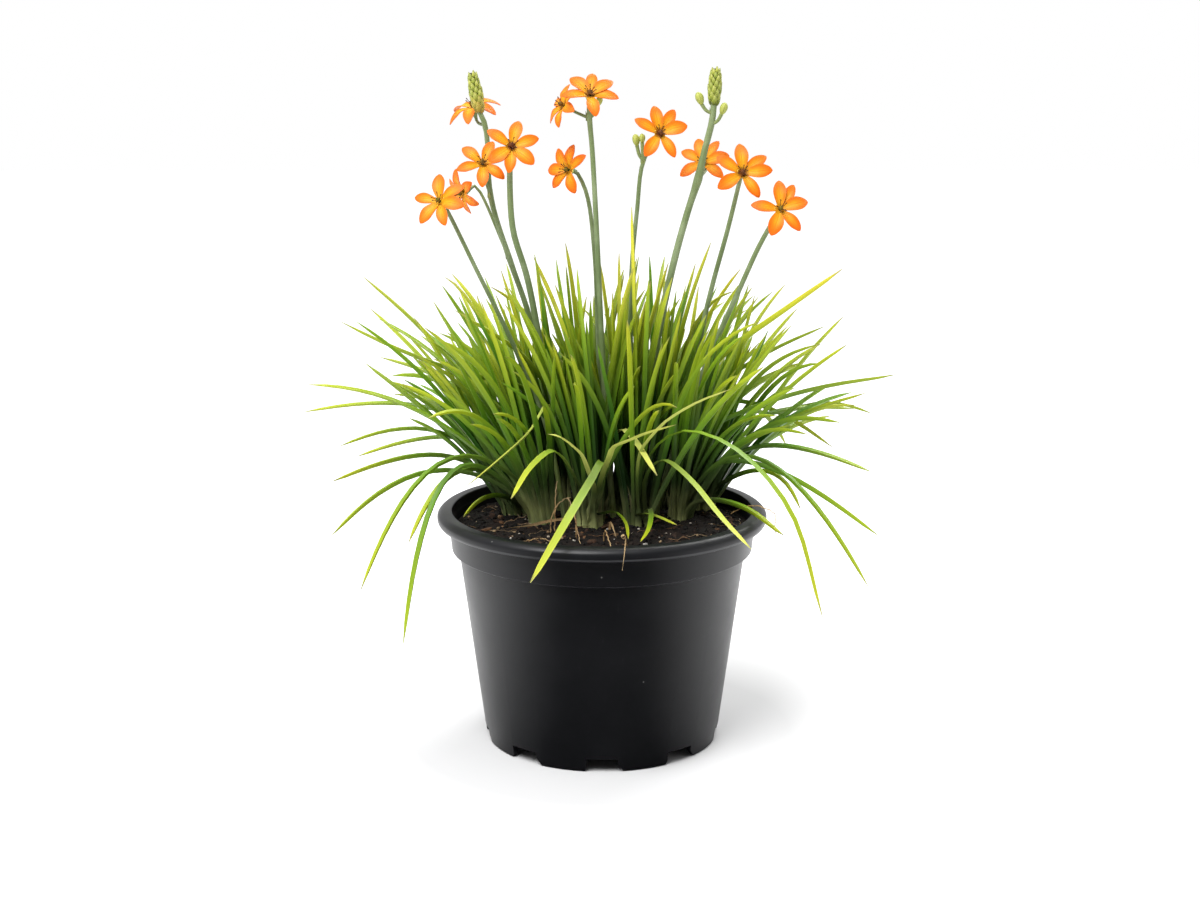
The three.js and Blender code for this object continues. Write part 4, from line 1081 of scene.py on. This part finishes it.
class BULBINE_OT_stage(bpy.types.Operator):
    """Make the camera, the floor and the studio light"""
    bl_idname = "bulbine.make_stage"
    bl_label = "Camera, floor and light"

    def execute(self, context):
        studio = context.scene.bulbine_studio
        tilt = math.radians(CAMERA_TILT)
        camera = added(bpy.ops.object.camera_add, location=CAMERA_PLACE, rotation=(tilt, 0, 0))
        camera.name = "camera"
        camera.data.lens, camera.data.sensor_width = studio.lens, SENSOR_WIDTH
        context.scene.camera = camera
        context.scene.view_settings.view_transform = "Standard"
        self.make_floor(studio)
        self.make_surround(context.scene, studio)
        for name, place, width, strength in LAMPS:
            heading = (Vector(LAMP_AIM) - Vector(place)).to_track_quat("-Z", "Y").to_euler()
            lamp = added(bpy.ops.object.light_add, type="AREA", location=place, rotation=heading)
            lamp.name = name
            lamp.data.shape = "DISK"
            lamp.data.size, lamp.data.energy = width, strength * studio.key
        return {"FINISHED"}

    def make_floor(self, studio):
        """A pale floor that glows clear of the pot. The front of the pot doesn't mirror it."""
        floor = added(bpy.ops.mesh.primitive_plane_add, size=9, location=(0, 0, -0.0004))
        floor.name = "floor"
        n = new_finish("studio_floor", 0.1, Roughness=0.9, Emission_Color=(1, 1, 1, 1))
        place = n.place()
        plain = n.over(studio.floor, n.noise(place, 3, 2), [0.99 * value for value in studio.floor])
        split = n.split(place)
        aside = n.math("ARCTAN2", n.math("ABSOLUTE", split["X"]), n.times(split["Y"], -1))
        mirrored = n.node("LightPath").outputs["Is Glossy Ray"]
        hidden = n.times(mirrored, n.remap(aside, studio.shade, 0.4 * studio.shade))
        shine = n.times(n.remap(n.length(place), 0.1, 0.22, 0, studio.glow), n.math("SUBTRACT", 1.0, hidden))
        n.put(n.shader.inputs["Emission Strength"], shine)
        floor.data.materials.append(n.done(n.over(plain, hidden, (0, 0, 0))))

    def make_surround(self, scene, studio):
        """Light that is dim from the front, and white where the camera looks past the floor"""
        scene.world = bpy.data.worlds.new("studio_surround")
        n = Nodes(scene.world)
        n.tree.nodes.clear()
        away = n.split(n.node("TexCoord").outputs["Generated"])["Y"]
        back = n.remap(away, -0.95, -0.2, studio.front, studio.surround, interpolation_type="SMOOTHSTEP")
        seen = n.node("Mix", {"Factor": n.node("LightPath").outputs["Is Camera Ray"], "A": back, "B": 1.0})
        light = n.node("Background", {"Color": (1, 1, 1), "Strength": seen.outputs["Result"]})
        n.node("OutputWorld", {0: light.outputs[0]})


class BULBINE_OT_pot(bpy.types.Operator):
    """Spin the pot from its profile and cut its drainage notches and holes"""
    bl_idname = "bulbine.make_pot"
    bl_label = "Pot"

    def execute(self, context):
        settings = context.scene.bulbine_pot
        scale = MM * settings.height / POT_BOX[1].z
        line = self.rounded_profile()
        pot = new_object("black_nursery_pot", [(r * scale, 0, z * scale) for r, z in line],
                         [(index, (index + 1) % len(line)) for index in range(len(line))], [])
        edit()
        bpy.ops.mesh.spin(steps=settings.steps, angle=2 * math.pi, center=(0, 0, 0), axis=(0, 0, 1))
        bpy.ops.mesh.select_all(action="SELECT")
        bpy.ops.mesh.remove_doubles(threshold=0.00001)
        close_up()
        for cutter in (self.notch(), self.drain()):
            self.repeat_round(cutter)
            apply_modifier(pot, "BOOLEAN", object=cutter, operation="DIFFERENCE", solver="EXACT")
            bpy.data.objects.remove(cutter)
        settle(pot, ["pot"], plastic_finish(settings), 30)
        return {"FINISHED"}

    def rounded_profile(self):
        line = []
        for index, (r, z, radius) in enumerate(POT_PROFILE):
            corner = np.array((r, z), float)
            if not radius:
                line.append(corner)
                continue
            beside = (POT_PROFILE[index - 1], POT_PROFILE[(index + 1) % len(POT_PROFILE)])
            back, ahead = (np.array(point[:2], float) - corner for point in beside)
            reach = min(radius, 0.45 * np.linalg.norm(back), 0.45 * np.linalg.norm(ahead))
            start, end = corner + unit(back) * reach, corner + unit(ahead) * reach
            for t in (0, 0.25, 0.5, 0.75, 1):
                line.append((1 - t) ** 2 * start + 2 * t * (1 - t) * corner + t ** 2 * end)
        return line

    def notch(self):
        """The outline of a notch, extruded through the wall at the front"""
        cutter = new_object("notch", [(u * MM, -NOTCH_INNER * MM, z * MM) for u, z in NOTCH_OUTLINE], [],
                            [tuple(range(len(NOTCH_OUTLINE)))])
        edit("FACE")
        bpy.ops.mesh.extrude_region_move(
            TRANSFORM_OT_translate={"value": (0, (NOTCH_INNER - NOTCH_OUTER) * MM, 0)})
        close_up()
        return cutter

    def drain(self):
        cutter = added(bpy.ops.mesh.primitive_cylinder_add, vertices=24, radius=DRAIN_RADIUS * MM,
                       depth=0.006, location=(0, -DRAIN_CIRCLE * MM, 0.0084))
        bpy.ops.object.transform_apply(location=True)
        return cutter

    def repeat_round(self, cutter):
        """Joins a cutter with its copies round the pot's axis"""
        copies = []
        for index in range(1, NOTCH_COUNT):
            copy = cutter.copy()
            copy.data = cutter.data.copy()
            copy.data.transform(Euler((0, 0, 2 * math.pi * index / NOTCH_COUNT)).to_matrix().to_4x4())
            bpy.context.scene.collection.objects.link(copy)
            copies.append(copy)
        make_active(cutter)
        for copy in copies:
            copy.select_set(True)
        bpy.ops.object.join()


def soil_height(x, y):
    """Height of the soil's lumpy surface in millimetres"""
    radius = math.hypot(x, y)
    level = SOIL_LEVEL - 1.4 * (radius / SOIL_EDGE) ** 6
    fade = min(1, max(0, (SOIL_EDGE - radius) / 4))
    for size, seed, height in SOIL_LUMPS:
        level += fade * height * noise.noise(Vector((x / size, y / size, seed)))
    return level


class BULBINE_OT_soil(bpy.types.Operator):
    """Inset a disc into rings, raise its lumps and close it down inside the pot"""
    bl_idname = "bulbine.make_soil"
    bl_label = "Soil"

    def execute(self, context):
        low, radius = SOIL_DISC * MM, SOIL_EDGE
        soil = added(bpy.ops.mesh.primitive_circle_add, vertices=180, radius=radius * MM, fill_type="NGON",
                     location=(0, 0, low))
        soil.name = "potting_soil"
        bpy.ops.object.transform_apply(location=True)
        edit("FACE")
        for _ in range(SOIL_RINGS):
            bpy.ops.mesh.inset(thickness=SOIL_RING_WIDTH * MM)
        bpy.ops.mesh.poke()
        bpy.ops.mesh.select_mode(type="EDGE")
        pick(soil, lambda edge: edge.is_boundary, "edges")
        for next_radius, height in SOIL_WALL:
            bpy.ops.mesh.extrude_region_move(TRANSFORM_OT_translate={"value": (0, 0, height * MM - low)})
            resize(next_radius / radius, next_radius / radius)
            low, radius = height * MM, next_radius
        bpy.ops.mesh.edge_face_add()
        close_up()
        for vert in soil.data.vertices:
            if vert.co.z > (SOIL_DISC - 0.1) * MM:
                vert.co.z = soil_height(vert.co.x / MM, vert.co.y / MM) * MM
        settle(soil, ["soil"], soil_finish(context.scene.bulbine_soil))
        return {"FINISHED"}


class BULBINE_OT_litter(bpy.types.Operator):
    """Strew crumbs, bark, specks and root fibres on the soil"""
    bl_idname = "bulbine.make_litter"
    bl_label = "Litter on the soil"

    def execute(self, context):
        settings = context.scene.bulbine_soil
        draws = Draws("litter")
        finish = litter_finish()
        crumb = blank_of(bpy.ops.mesh.primitive_ico_sphere_add, subdivisions=1, radius=1)
        crumbs = []
        for index in range(settings.crumbs):
            size = 0.45 + 1.15 * draws.share() ** 2
            shade = draws.share() ** 5
            if index % PALE_CRUMB_EVERY == 7:
                shade, size = draws.between(0.9, 1), draws.between(0.4, 0.8)
            half = (size, size * draws.between(0.6, 1), size * 0.7)
            crumbs.append(self.strewn(draws, crumb, half, 0.3, shade))
        build("soil_crumbs", crumbs, [], finish, 70)
        chip = chip_blank()
        chips = []
        for _ in range(settings.chips):
            length = draws.between(1.6, 4.2)
            half = (length, length * draws.between(0.25, 0.5), length * draws.between(0.1, 0.22))
            chips.append(self.strewn(draws, chip, half, 0.12, 0.1 + 0.6 * draws.share() ** 2))
        build("bark_chips", chips, [], finish, 35)
        thread = tube_blank(4, 12)
        fibres = [self.fibre(draws, thread) for _ in range(settings.fibres)]
        build("root_fibres", list(filter(None, fibres)), [], finish)
        return {"FINISHED"}

    def strewn(self, draws, blank, half, rough, shade):
        """A copy of a blank, roughened, turned and half sunk where it falls"""
        u, v = draws.in_disc()
        x, y = LITTER_REACH * u, LITTER_REACH * v
        points = blank[0] * (1 + rough * (2 * np.array([draws.share() for _ in blank[0]]) - 1))[:, None]
        turn = Euler((draws.between(-0.5, 0.5), draws.between(-0.5, 0.5), draws.between(0, 6.28))).to_matrix()
        points = (points * np.array(half)) @ np.array(turn).T
        return part(points + (x, y, soil_height(x, y) + 0.25 * half[2]), blank, shade, 0, 0, 0)

    def fibre(self, draws, thread):
        """A thread that wanders over the soil, or nothing where it would soon meet the pot"""
        u, v = draws.in_disc()
        x, y, turn = 70 * u, 70 * v, draws.between(0, 2 * math.pi)
        curl = draws.between(-0.5, 0.5)
        line = []
        for _ in range(7):
            line.append((x, y, soil_height(x, y) + 0.5 + draws.between(0, 1.1)))
            x, y = x + 2.4 * math.cos(turn), y + 2.4 * math.sin(turn)
            turn += curl + draws.between(-0.7, 0.7)
            if math.hypot(x, y) > LITTER_REACH:
                break
        if len(line) < 4:
            return None
        radii = draws.between(0.1, 0.24) * np.linspace(1, 0.5, 13)
        path = stations(smooth_line(line, 24), 12)
        return tube_part(thread, path, radii, draws.between(0.62, 0.9), 0, 0, 0)


class BULBINE_OT_leaves(bpy.types.Operator):
    """Lay every leaf of the twelve tufts along its line, with pale sheaths round its foot"""
    bl_idname = "bulbine.make_leaves"
    bl_label = "Leaves"

    def execute(self, context):
        settings = context.scene.bulbine_leaves
        half = settings.half_width / MM
        blade, strap = tube_blank(6, LEAF_SPANS, -0.1), tube_blank(4, LEAF_SPANS, -0.3)
        finish = leaf_finish(settings)
        parts = {tuft: [] for tuft in range(1, len(TUFTS) + 1)}
        draws = Draws("blades")
        for tuft, line, roll, width, yellowness in plan_leaves(settings.inner):
            path = stations(line, LEAF_SPANS, 6)
            t = length_share(path)
            taper = np.interp(t, *zip(*LEAF_TAPER))
            widths = half * width * taper * (1 + 0.45 * np.clip(1 - t / 0.1, 0, 1))
            flat = yellowness > 0.95
            blank = strap if flat else blade
            depths = half * taper * (0.7 if flat else 1.5 * width)
            place = lay(blank, path, widths, depths, sideways(path), roll, draws.between(-0.3, 0.3))
            parts[tuft].append(self.marked(place, blank, t, yellowness, 0))
        for tuft, (cx, cy) in enumerate(TUFTS, 1):
            for _ in range(settings.sheaths):
                parts[tuft].append(self.sheath(draws, strap, cx, cy))
        for tuft, laid in parts.items():
            build(f"leaf_tuft_{tuft:02d}", laid, [f"tuft_{tuft:02d}"], finish, 62)
        return {"FINISHED"}

    def marked(self, place, blank, t, yellowness, dry):
        along = t[np.rint(along_of(blank) * LEAF_SPANS).astype(int)]
        return part(place, blank, along, across_of(blank), yellowness, dry)

    def sheath(self, draws, blank, cx, cy):
        """A short broad papery sheath that stands against the outside of a tuft"""
        out = heading_at(draws.between(0, 2 * math.pi), np.array((1, 0, 0)), np.array((0, 1, 0)))
        foot = np.array((cx, cy, SHEATH_FOOT)) + out * draws.between(3.5, 7)
        height = draws.between(10, 24)
        lean = draws.between(0.08, 0.45)
        t = np.linspace(0, 1, LEAF_SPANS + 1)
        path = placed(foot, (UP, out), (t * height, lean * height * t ** 1.6))
        widths = draws.between(1.2, 2.1) * np.maximum(1 - t ** 2, 0.04)
        place = lay(blank, path, widths, 0.5 * widths + 0.1, np.array((-out[1], out[0], 0)),
                    draws.between(-0.3, 0.3), draws.between(-0.4, 0.4))
        return self.marked(place, blank, 0.1 * t, draws.share(), draws.between(0, 0.5))


class BULBINE_OT_stems(bpy.types.Operator):
    """Lay the nine stems with their side stalks, scales and closed side buds"""
    bl_idname = "bulbine.make_stems"
    bl_label = "Stems"

    def execute(self, context):
        finish = stem_finish(context.scene.bulbine_stems)
        long_tube, self.short_tube = tube_blank(12, 40), tube_blank(10, 10)
        self.ball, self.scale_blank = ball_blank(15, 10), tube_blank(4, 6, -0.3)
        for number, (low, high, _) in enumerate(STEMS, 1):
            points = stem_points(number)
            root = [(points[0][0], points[0][1], CROWN_BOTTOM + 3)]
            line = stations(np.vstack([root, smooth_line(points, 60)]), 40)
            radii = STEM_SHARE * np.linspace(low, high, 41)
            flowers = [flower for flower in FLOWERS if flower[0] == number]
            swell = JOINT_SWELL_OF.get(number, JOINT_SWELL)
            for joint in filter(None, (flower[5] for flower in flowers)):
                reach = np.linalg.norm(line - points[joint], axis=1)
                radii = radii * (1 + swell * np.exp(-(reach / 6) ** 2))
            parts = [self.tube(long_tube, line, radii, 0)]
            for flower in flowers:
                end, axis = stalk_end(flower), unit(flower[2])
                if flower[5]:
                    start = points[flower[5]]
                    path = stations(smooth_line([start, end - axis * 4.5, end], 20), 10)
                    parts.append(self.tube(self.short_tube, path, np.linspace(0.9, 0.75, 11), 0.8))
                    parts.append(self.scale(start, unit(path[2] - path[0]), low))
                flare = np.linspace(0, 1, 11)
                path = end + axis * (-3.4 + 3.5 * flare)[:, None]
                parts.append(self.tube(self.short_tube, path, 0.8 + 1.0 * flare ** 1.6, 0.9))
            for stem, joint, at, half in SIDE_BUDS:
                if stem == number:
                    parts += self.side_bud(points[joint], np.array(at, float), half)
            build(f"flower_stem_{number:02d}", parts, [f"stem_{number:02d}"], finish, 50)
        return {"FINISHED"}

    def tube(self, blank, path, radii, first, bud=0.0):
        turn = np.arctan2(blank[0][:, 1], blank[0][:, 0])
        along = first + (1 - first) * along_of(blank)
        return tube_part(blank, path, radii, along, np.abs(turn) / (2 * math.pi), bud, 0)

    def scale(self, start, heading, radius):
        """The small pointed scale under a side stalk"""
        t = np.linspace(0, 1, 7)
        out = unit(heading * (1, 1, 0.2) + (0.001, 0, 0))
        path = placed(start - (0, 0, 1.5), (UP, out), (5.0 * t, radius * 0.8 + 1.2 * t ** 1.5))
        widths = np.maximum(1 - t ** 1.8, 0.05)
        place = lay(self.scale_blank, path, widths, 0.4 * widths, unit(np.cross(out, UP)))
        return part(place, self.scale_blank, 0.9, 0.5, 0.3, 0)

    def side_bud(self, start, middle, half):
        axis = unit(unit(middle - start) + UP)
        foot = middle - axis * half * 0.85
        bend = (start + foot) / 2 + (foot - start) * (0.12, 0.12, -0.12)
        stalk = stations(smooth_line([start, bend, foot], 20), 10)
        side = unit(np.cross(axis, (0, 1, 0)))
        x, y, z = self.ball[0].T
        lobes, seam = lobed(self.ball, 0.09, 6)
        belly = half * 0.66 * (1 + 0.22 * z) * lobes
        place = placed(middle, (axis, side, np.cross(axis, side)),
                       (half * (z + 0.1 * np.maximum(z, 0) ** 6), x * belly, y * belly))
        return [
            self.tube(self.short_tube, stalk, np.linspace(0.8, 1.0, 11), 0.8, 0.3),
            part(place, self.ball, 0.9, seam * 0.4, 1.0, 0),
            self.scale(start, stalk[3] - stalk[0], 1.4),
        ]


class BULBINE_OT_flowers(bpy.types.Operator):
    """Lay six petals round each flower's cup"""
    bl_idname = "bulbine.make_flowers"
    bl_label = "Flowers"

    def execute(self, context):
        settings = context.scene.bulbine_flowers
        half = settings.half_width / MM
        petal = petal_blank()
        points, faces = tube_blank(18, 6)
        cup = points, [face for face in faces if len(face) == 4]
        finish, green = petal_finish(settings), cup_finish()
        draws = Draws("petals")
        t = np.linspace(0, 1, 7)
        for number, (_, centre, facing, turns, size, _, brown, curl) in enumerate(FLOWERS, 1):
            axis, up, right = flower_frame(facing)
            shade = draws.share()
            parts = []
            for index, degrees in enumerate(turns):
                out = heading_at(math.radians(degrees), right, up)
                broad = index % 2 == 0
                width = half * size / USUAL_PETAL * (1 if broad else INNER_PETAL) * draws.between(0.93, 1.07)
                sizes = self.petal(draws, petal, size, width, 0.35 if broad else 0, curl)
                parts.append(part(placed(centre, (out, np.cross(axis, out), axis), sizes), petal,
                                  petal[0][:, 1], across_of(petal), 0.6 * shade + 0.4 * draws.share(), brown))
            path = centre + axis * (-FLOWER_BACK + (FLOWER_BACK + 0.5) * t)[:, None]
            parts.append(tube_part(cup, path, 1.5 + 1.2 * t ** 0.8, along_of(cup), CUP_MARK, 0, 0))
            made = build(f"open_flower_{number:02d}", parts, [f"flower_{number:02d}"], finish, 45,
                         PETAL_THICKNESS * MM)
            made.data.materials.append(green)
            owner = made.data.attributes["mark"].data
            for face in made.data.polygons:
                if owner[face.vertices[0]].color[1] > 1.5:
                    face.material_index = 1
        return {"FINISHED"}

    def petal(self, draws, blank, size, width, lift, curl):
        """Out, across and lift of a petal's points: cupped by its foot and curled back at its tip"""
        u, s = blank[0][:, 0], blank[0][:, 1]
        s = 1 - (1 - s) ** 1.25
        shape = np.maximum(np.interp(s, *zip(*PETAL_BELLY)) * width, 0.15)
        rise = np.interp(s, *zip(*PETAL_RISE))
        bend = (draws.between(-0.9, 0.5) - curl) * s ** 2.4
        cupped = (0.30 - 0.34 * s) * shape * u ** 2
        crease = -0.28 * np.exp(-(u / 0.2) ** 2) * np.sin(math.pi * s)
        sway = draws.between(-0.8, 0.8) * s ** 2
        tilt = draws.between(-0.2, 0.2) * u * shape * s
        ripple = 0.12 * np.sin(9 * s + 4 * u) * np.abs(u) ** 3
        return (0.8 + (size - 0.8) * s - 0.25 * u ** 2 * (1 - s), u * shape + sway,
                rise + lift + bend + cupped + crease + tilt + ripple)


class BULBINE_OT_hearts(bpy.types.Operator):
    """Model each flower's seed vessel, style and six stamens with their anthers"""
    bl_idname = "bulbine.make_hearts"
    bl_label = "Flower hearts"

    def execute(self, context):
        ball, thread = ball_blank(12, 8), tube_blank(5, 6)
        x, y, z = ball[0].T
        lobes = lobed(ball, 0.1, 4)[0] * (1 - 0.42 * np.maximum(z, 0))
        finish = heart_finish()
        draws = Draws("hearts")
        t = np.linspace(0, 1, 7)
        for number, (_, centre, facing, turns, _, _, brown, _) in enumerate(FLOWERS, 1):
            axis, up, right = flower_frame(facing)
            foot = np.array(centre, float) + axis * 0.9
            belly = (1.1 + 0.3 * brown) * lobes
            vessel = placed(foot, (axis, right, up), (1.5 + 1.7 * z, x * belly, y * belly))
            style = foot + axis * np.linspace(2.6, 4.4, 7)[:, None]
            parts = [part(vessel, ball, 0.5, brown, 0, 0),
                     tube_part(thread, style, np.linspace(0.2, 0.13, 7), along_of(thread), brown, 1, 0)]
            for degrees in turns:
                out = heading_at(math.radians(degrees + draws.between(-12, 12)), right, up)
                reach, rise = draws.between(2.0, 3.1), draws.between(2.6, 3.5)
                path = placed(foot, (axis, out), (0.6 + rise * t ** 0.9, 0.8 + (reach - 0.8) * t ** 1.3))
                radii = np.linspace(0.2, 0.14, 7)
                parts.append(tube_part(thread, path, radii, along_of(thread), brown, 1, 0))
                heading = unit(path[-1] - path[-2] + 0.15 * out)
                side = unit(np.cross(heading, out))
                anther = placed(path[-1], (heading, side, np.cross(heading, side)),
                                (0.6 * z, 0.26 * x, 0.28 * y))
                parts.append(part(anther, ball, 1, brown, 1, 0))
            build(f"vessel_and_stamens_{number:02d}", parts, [f"flower_heart_{number:02d}"],
                  finish)
        return {"FINISHED"}


class BULBINE_OT_spikes(bpy.types.Operator):
    """Pack pointed buds in a golden spiral up each spike"""
    bl_idname = "bulbine.make_spikes"
    bl_label = "Bud spikes"

    def execute(self, context):
        finish = bud_finish(context.scene.bulbine_buds)
        core, ball = tube_blank(12, 12), ball_blank(8, 6)
        x, y, z = ball[0].T
        draws = Draws("spikes")
        t = np.linspace(0, 1, 13)
        for number, (foot, tip, radius) in enumerate(SPIKES, 1):
            run = np.array(tip, float) - foot
            length, axis = np.linalg.norm(run), unit(run)
            side = unit(np.cross((0, 1, 0), axis))
            face = np.cross(axis, side)
            radii = np.where(t < 0.08, 1.5, radius * spike_girth(0.94 * t) * 0.6)
            parts = [tube_part(core, foot + axis * (0.94 * length * t)[:, None], np.maximum(radii, 0.4),
                               0.3, 0, 0, 1)]
            for index in range(SPIKE_BUDS):
                share = 0.05 + 0.85 * (index / (SPIKE_BUDS - 1)) ** 0.95
                out = heading_at(GOLDEN_TURN * index, side, face)
                size = (1 - 0.42 * share) * draws.between(0.92, 1.08)
                heading = unit(axis + out * (0.5 - 0.42 * share))
                across = unit(np.cross(heading, out))
                plump = (1 - 0.34 * z) * 1.65 * size
                middle = foot + axis * length * share + out * radius * spike_girth(share) * 0.62
                place = placed(middle, (heading, across, np.cross(across, heading)),
                               (size * (2.9 * z + 0.5 * np.maximum(z, 0) ** 3), x * plump, 0.8 * y * plump))
                shown = share - (0.35 if number == 1 else 0)
                parts.append(part(place, ball, z / 2 + 0.5, shown, draws.share(), 0))
            build(f"spike_of_buds_{number:02d}", parts, [f"bud_spike_{number:02d}"], finish)
        return {"FINISHED"}


def spike_girth(share):
    """A spike's radius at a share of its height, as a share of its widest"""
    return np.where(share < 0.35, 0.62 + 1.09 * share,
                    np.sqrt(1 - (np.maximum(share - 0.35, 0) / 0.68) ** 2))


class BULBINE_OT_dry_leaves(bpy.types.Operator):
    """Lay the withered leaves on the soil and over the rim"""
    bl_idname = "bulbine.make_dry_leaves"
    bl_label = "Withered leaves"

    def execute(self, context):
        finish = dry_finish(context.scene.bulbine_dry_leaves)
        blade = tube_blank(4, 24, -0.3)
        draws = Draws("withered")
        t = np.linspace(0, 1, 25)
        for number, points in enumerate(DRY_LEAVES, 1):
            path = stations(smooth_line(points, 60), 24, 6)
            widths = DRY_WIDTHS[number - 1] * np.maximum(1 - t ** 3, 0.12) * (1 + 0.2 * np.sin(11 * t))
            place = lay(blade, path, widths, 0.4 * widths, sideways(path), 0.3, draws.between(1.5, 3))
            parts = [part(place, blade, along_of(blade), across_of(blade), draws.share(), 0)]
            if number == KNOTTED_LEAF:
                parts += self.knot(blade, path[13])
            build(f"withered_leaf_{number:02d}", parts, [f"dry_leaf_{number:02d}"], finish)
        thread = tube_blank(5, 24)
        wisps = []
        for radius, *points in WISPS:
            path = stations(smooth_line(points, 60), 24, 6)
            wobble = np.array([[draws.between(-0.25, 0.25) for _ in range(3)] for _ in range(25)])
            wisps.append(tube_part(thread, path + wobble, 0.75 * radius * (1 - 0.5 * t ** 2),
                                   along_of(thread), 0.4, draws.share(), 0))
        build("withered_threads", wisps, [], finish)
        return {"FINISHED"}

    def knot(self, blade, middle):
        """The curled end of an old leaf, in a few loops"""
        laid = []
        turn = np.linspace(0, 5.6, 25)
        for radius, tilt in KNOT_LOOPS:
            side = np.array((math.cos(tilt), 0.3, math.sin(tilt)))
            face = np.array((-math.sin(tilt), -0.3, math.cos(tilt)))
            path = placed(middle + KNOT_SHIFT, (side, face), (radius * np.cos(turn), radius * np.sin(turn)))
            place = lay(blade, path, 0.75, 0.3, unit(np.cross(side, face)))
            laid.append(part(place, blade, 0.9, across_of(blade), tilt, 0))
        return laid


class BULBINE_PT_parts(bpy.types.Panel):
    bl_label = "Potted bulbine"
    bl_idname = "BULBINE_PT_parts"
    bl_space_type = "VIEW_3D"
    bl_region_type = "UI"
    bl_category = "Bulbine"

    def draw(self, context):
        for operator in OPERATORS:
            self.layout.operator(operator.bl_idname)
        for name in SETTINGS:
            box = self.layout.box()
            group = getattr(context.scene, name)
            for key in group.bl_rna.properties.keys():
                if key not in ("rna_type", "name"):
                    box.prop(group, key)


SETTINGS = {
    "bulbine_studio": StudioSettings, "bulbine_pot": PotSettings, "bulbine_soil": SoilSettings,
    "bulbine_leaves": LeafSettings, "bulbine_stems": StemSettings, "bulbine_flowers": FlowerSettings,
    "bulbine_buds": BudSettings, "bulbine_dry_leaves": DryLeafSettings,
}
OPERATORS = [
    BULBINE_OT_stage, BULBINE_OT_pot, BULBINE_OT_soil, BULBINE_OT_litter, BULBINE_OT_leaves,
    BULBINE_OT_stems, BULBINE_OT_flowers, BULBINE_OT_hearts, BULBINE_OT_spikes, BULBINE_OT_dry_leaves,
]
CLASSES = (*SETTINGS.values(), *OPERATORS, BULBINE_PT_parts)


def register():
    for kind in CLASSES:
        bpy.utils.register_class(kind)
    for name, kind in SETTINGS.items():
        setattr(bpy.types.Scene, name, bpy.props.PointerProperty(type=kind))


def unregister():
    for name in SETTINGS:
        delattr(bpy.types.Scene, name)
    for kind in reversed(CLASSES):
        bpy.utils.unregister_class(kind)


def main():
    register()
    for operator in OPERATORS:
        group, name = operator.bl_idname.split(".")
        getattr(getattr(bpy.ops, group), name)()


if __name__ == "__main__":
    main()
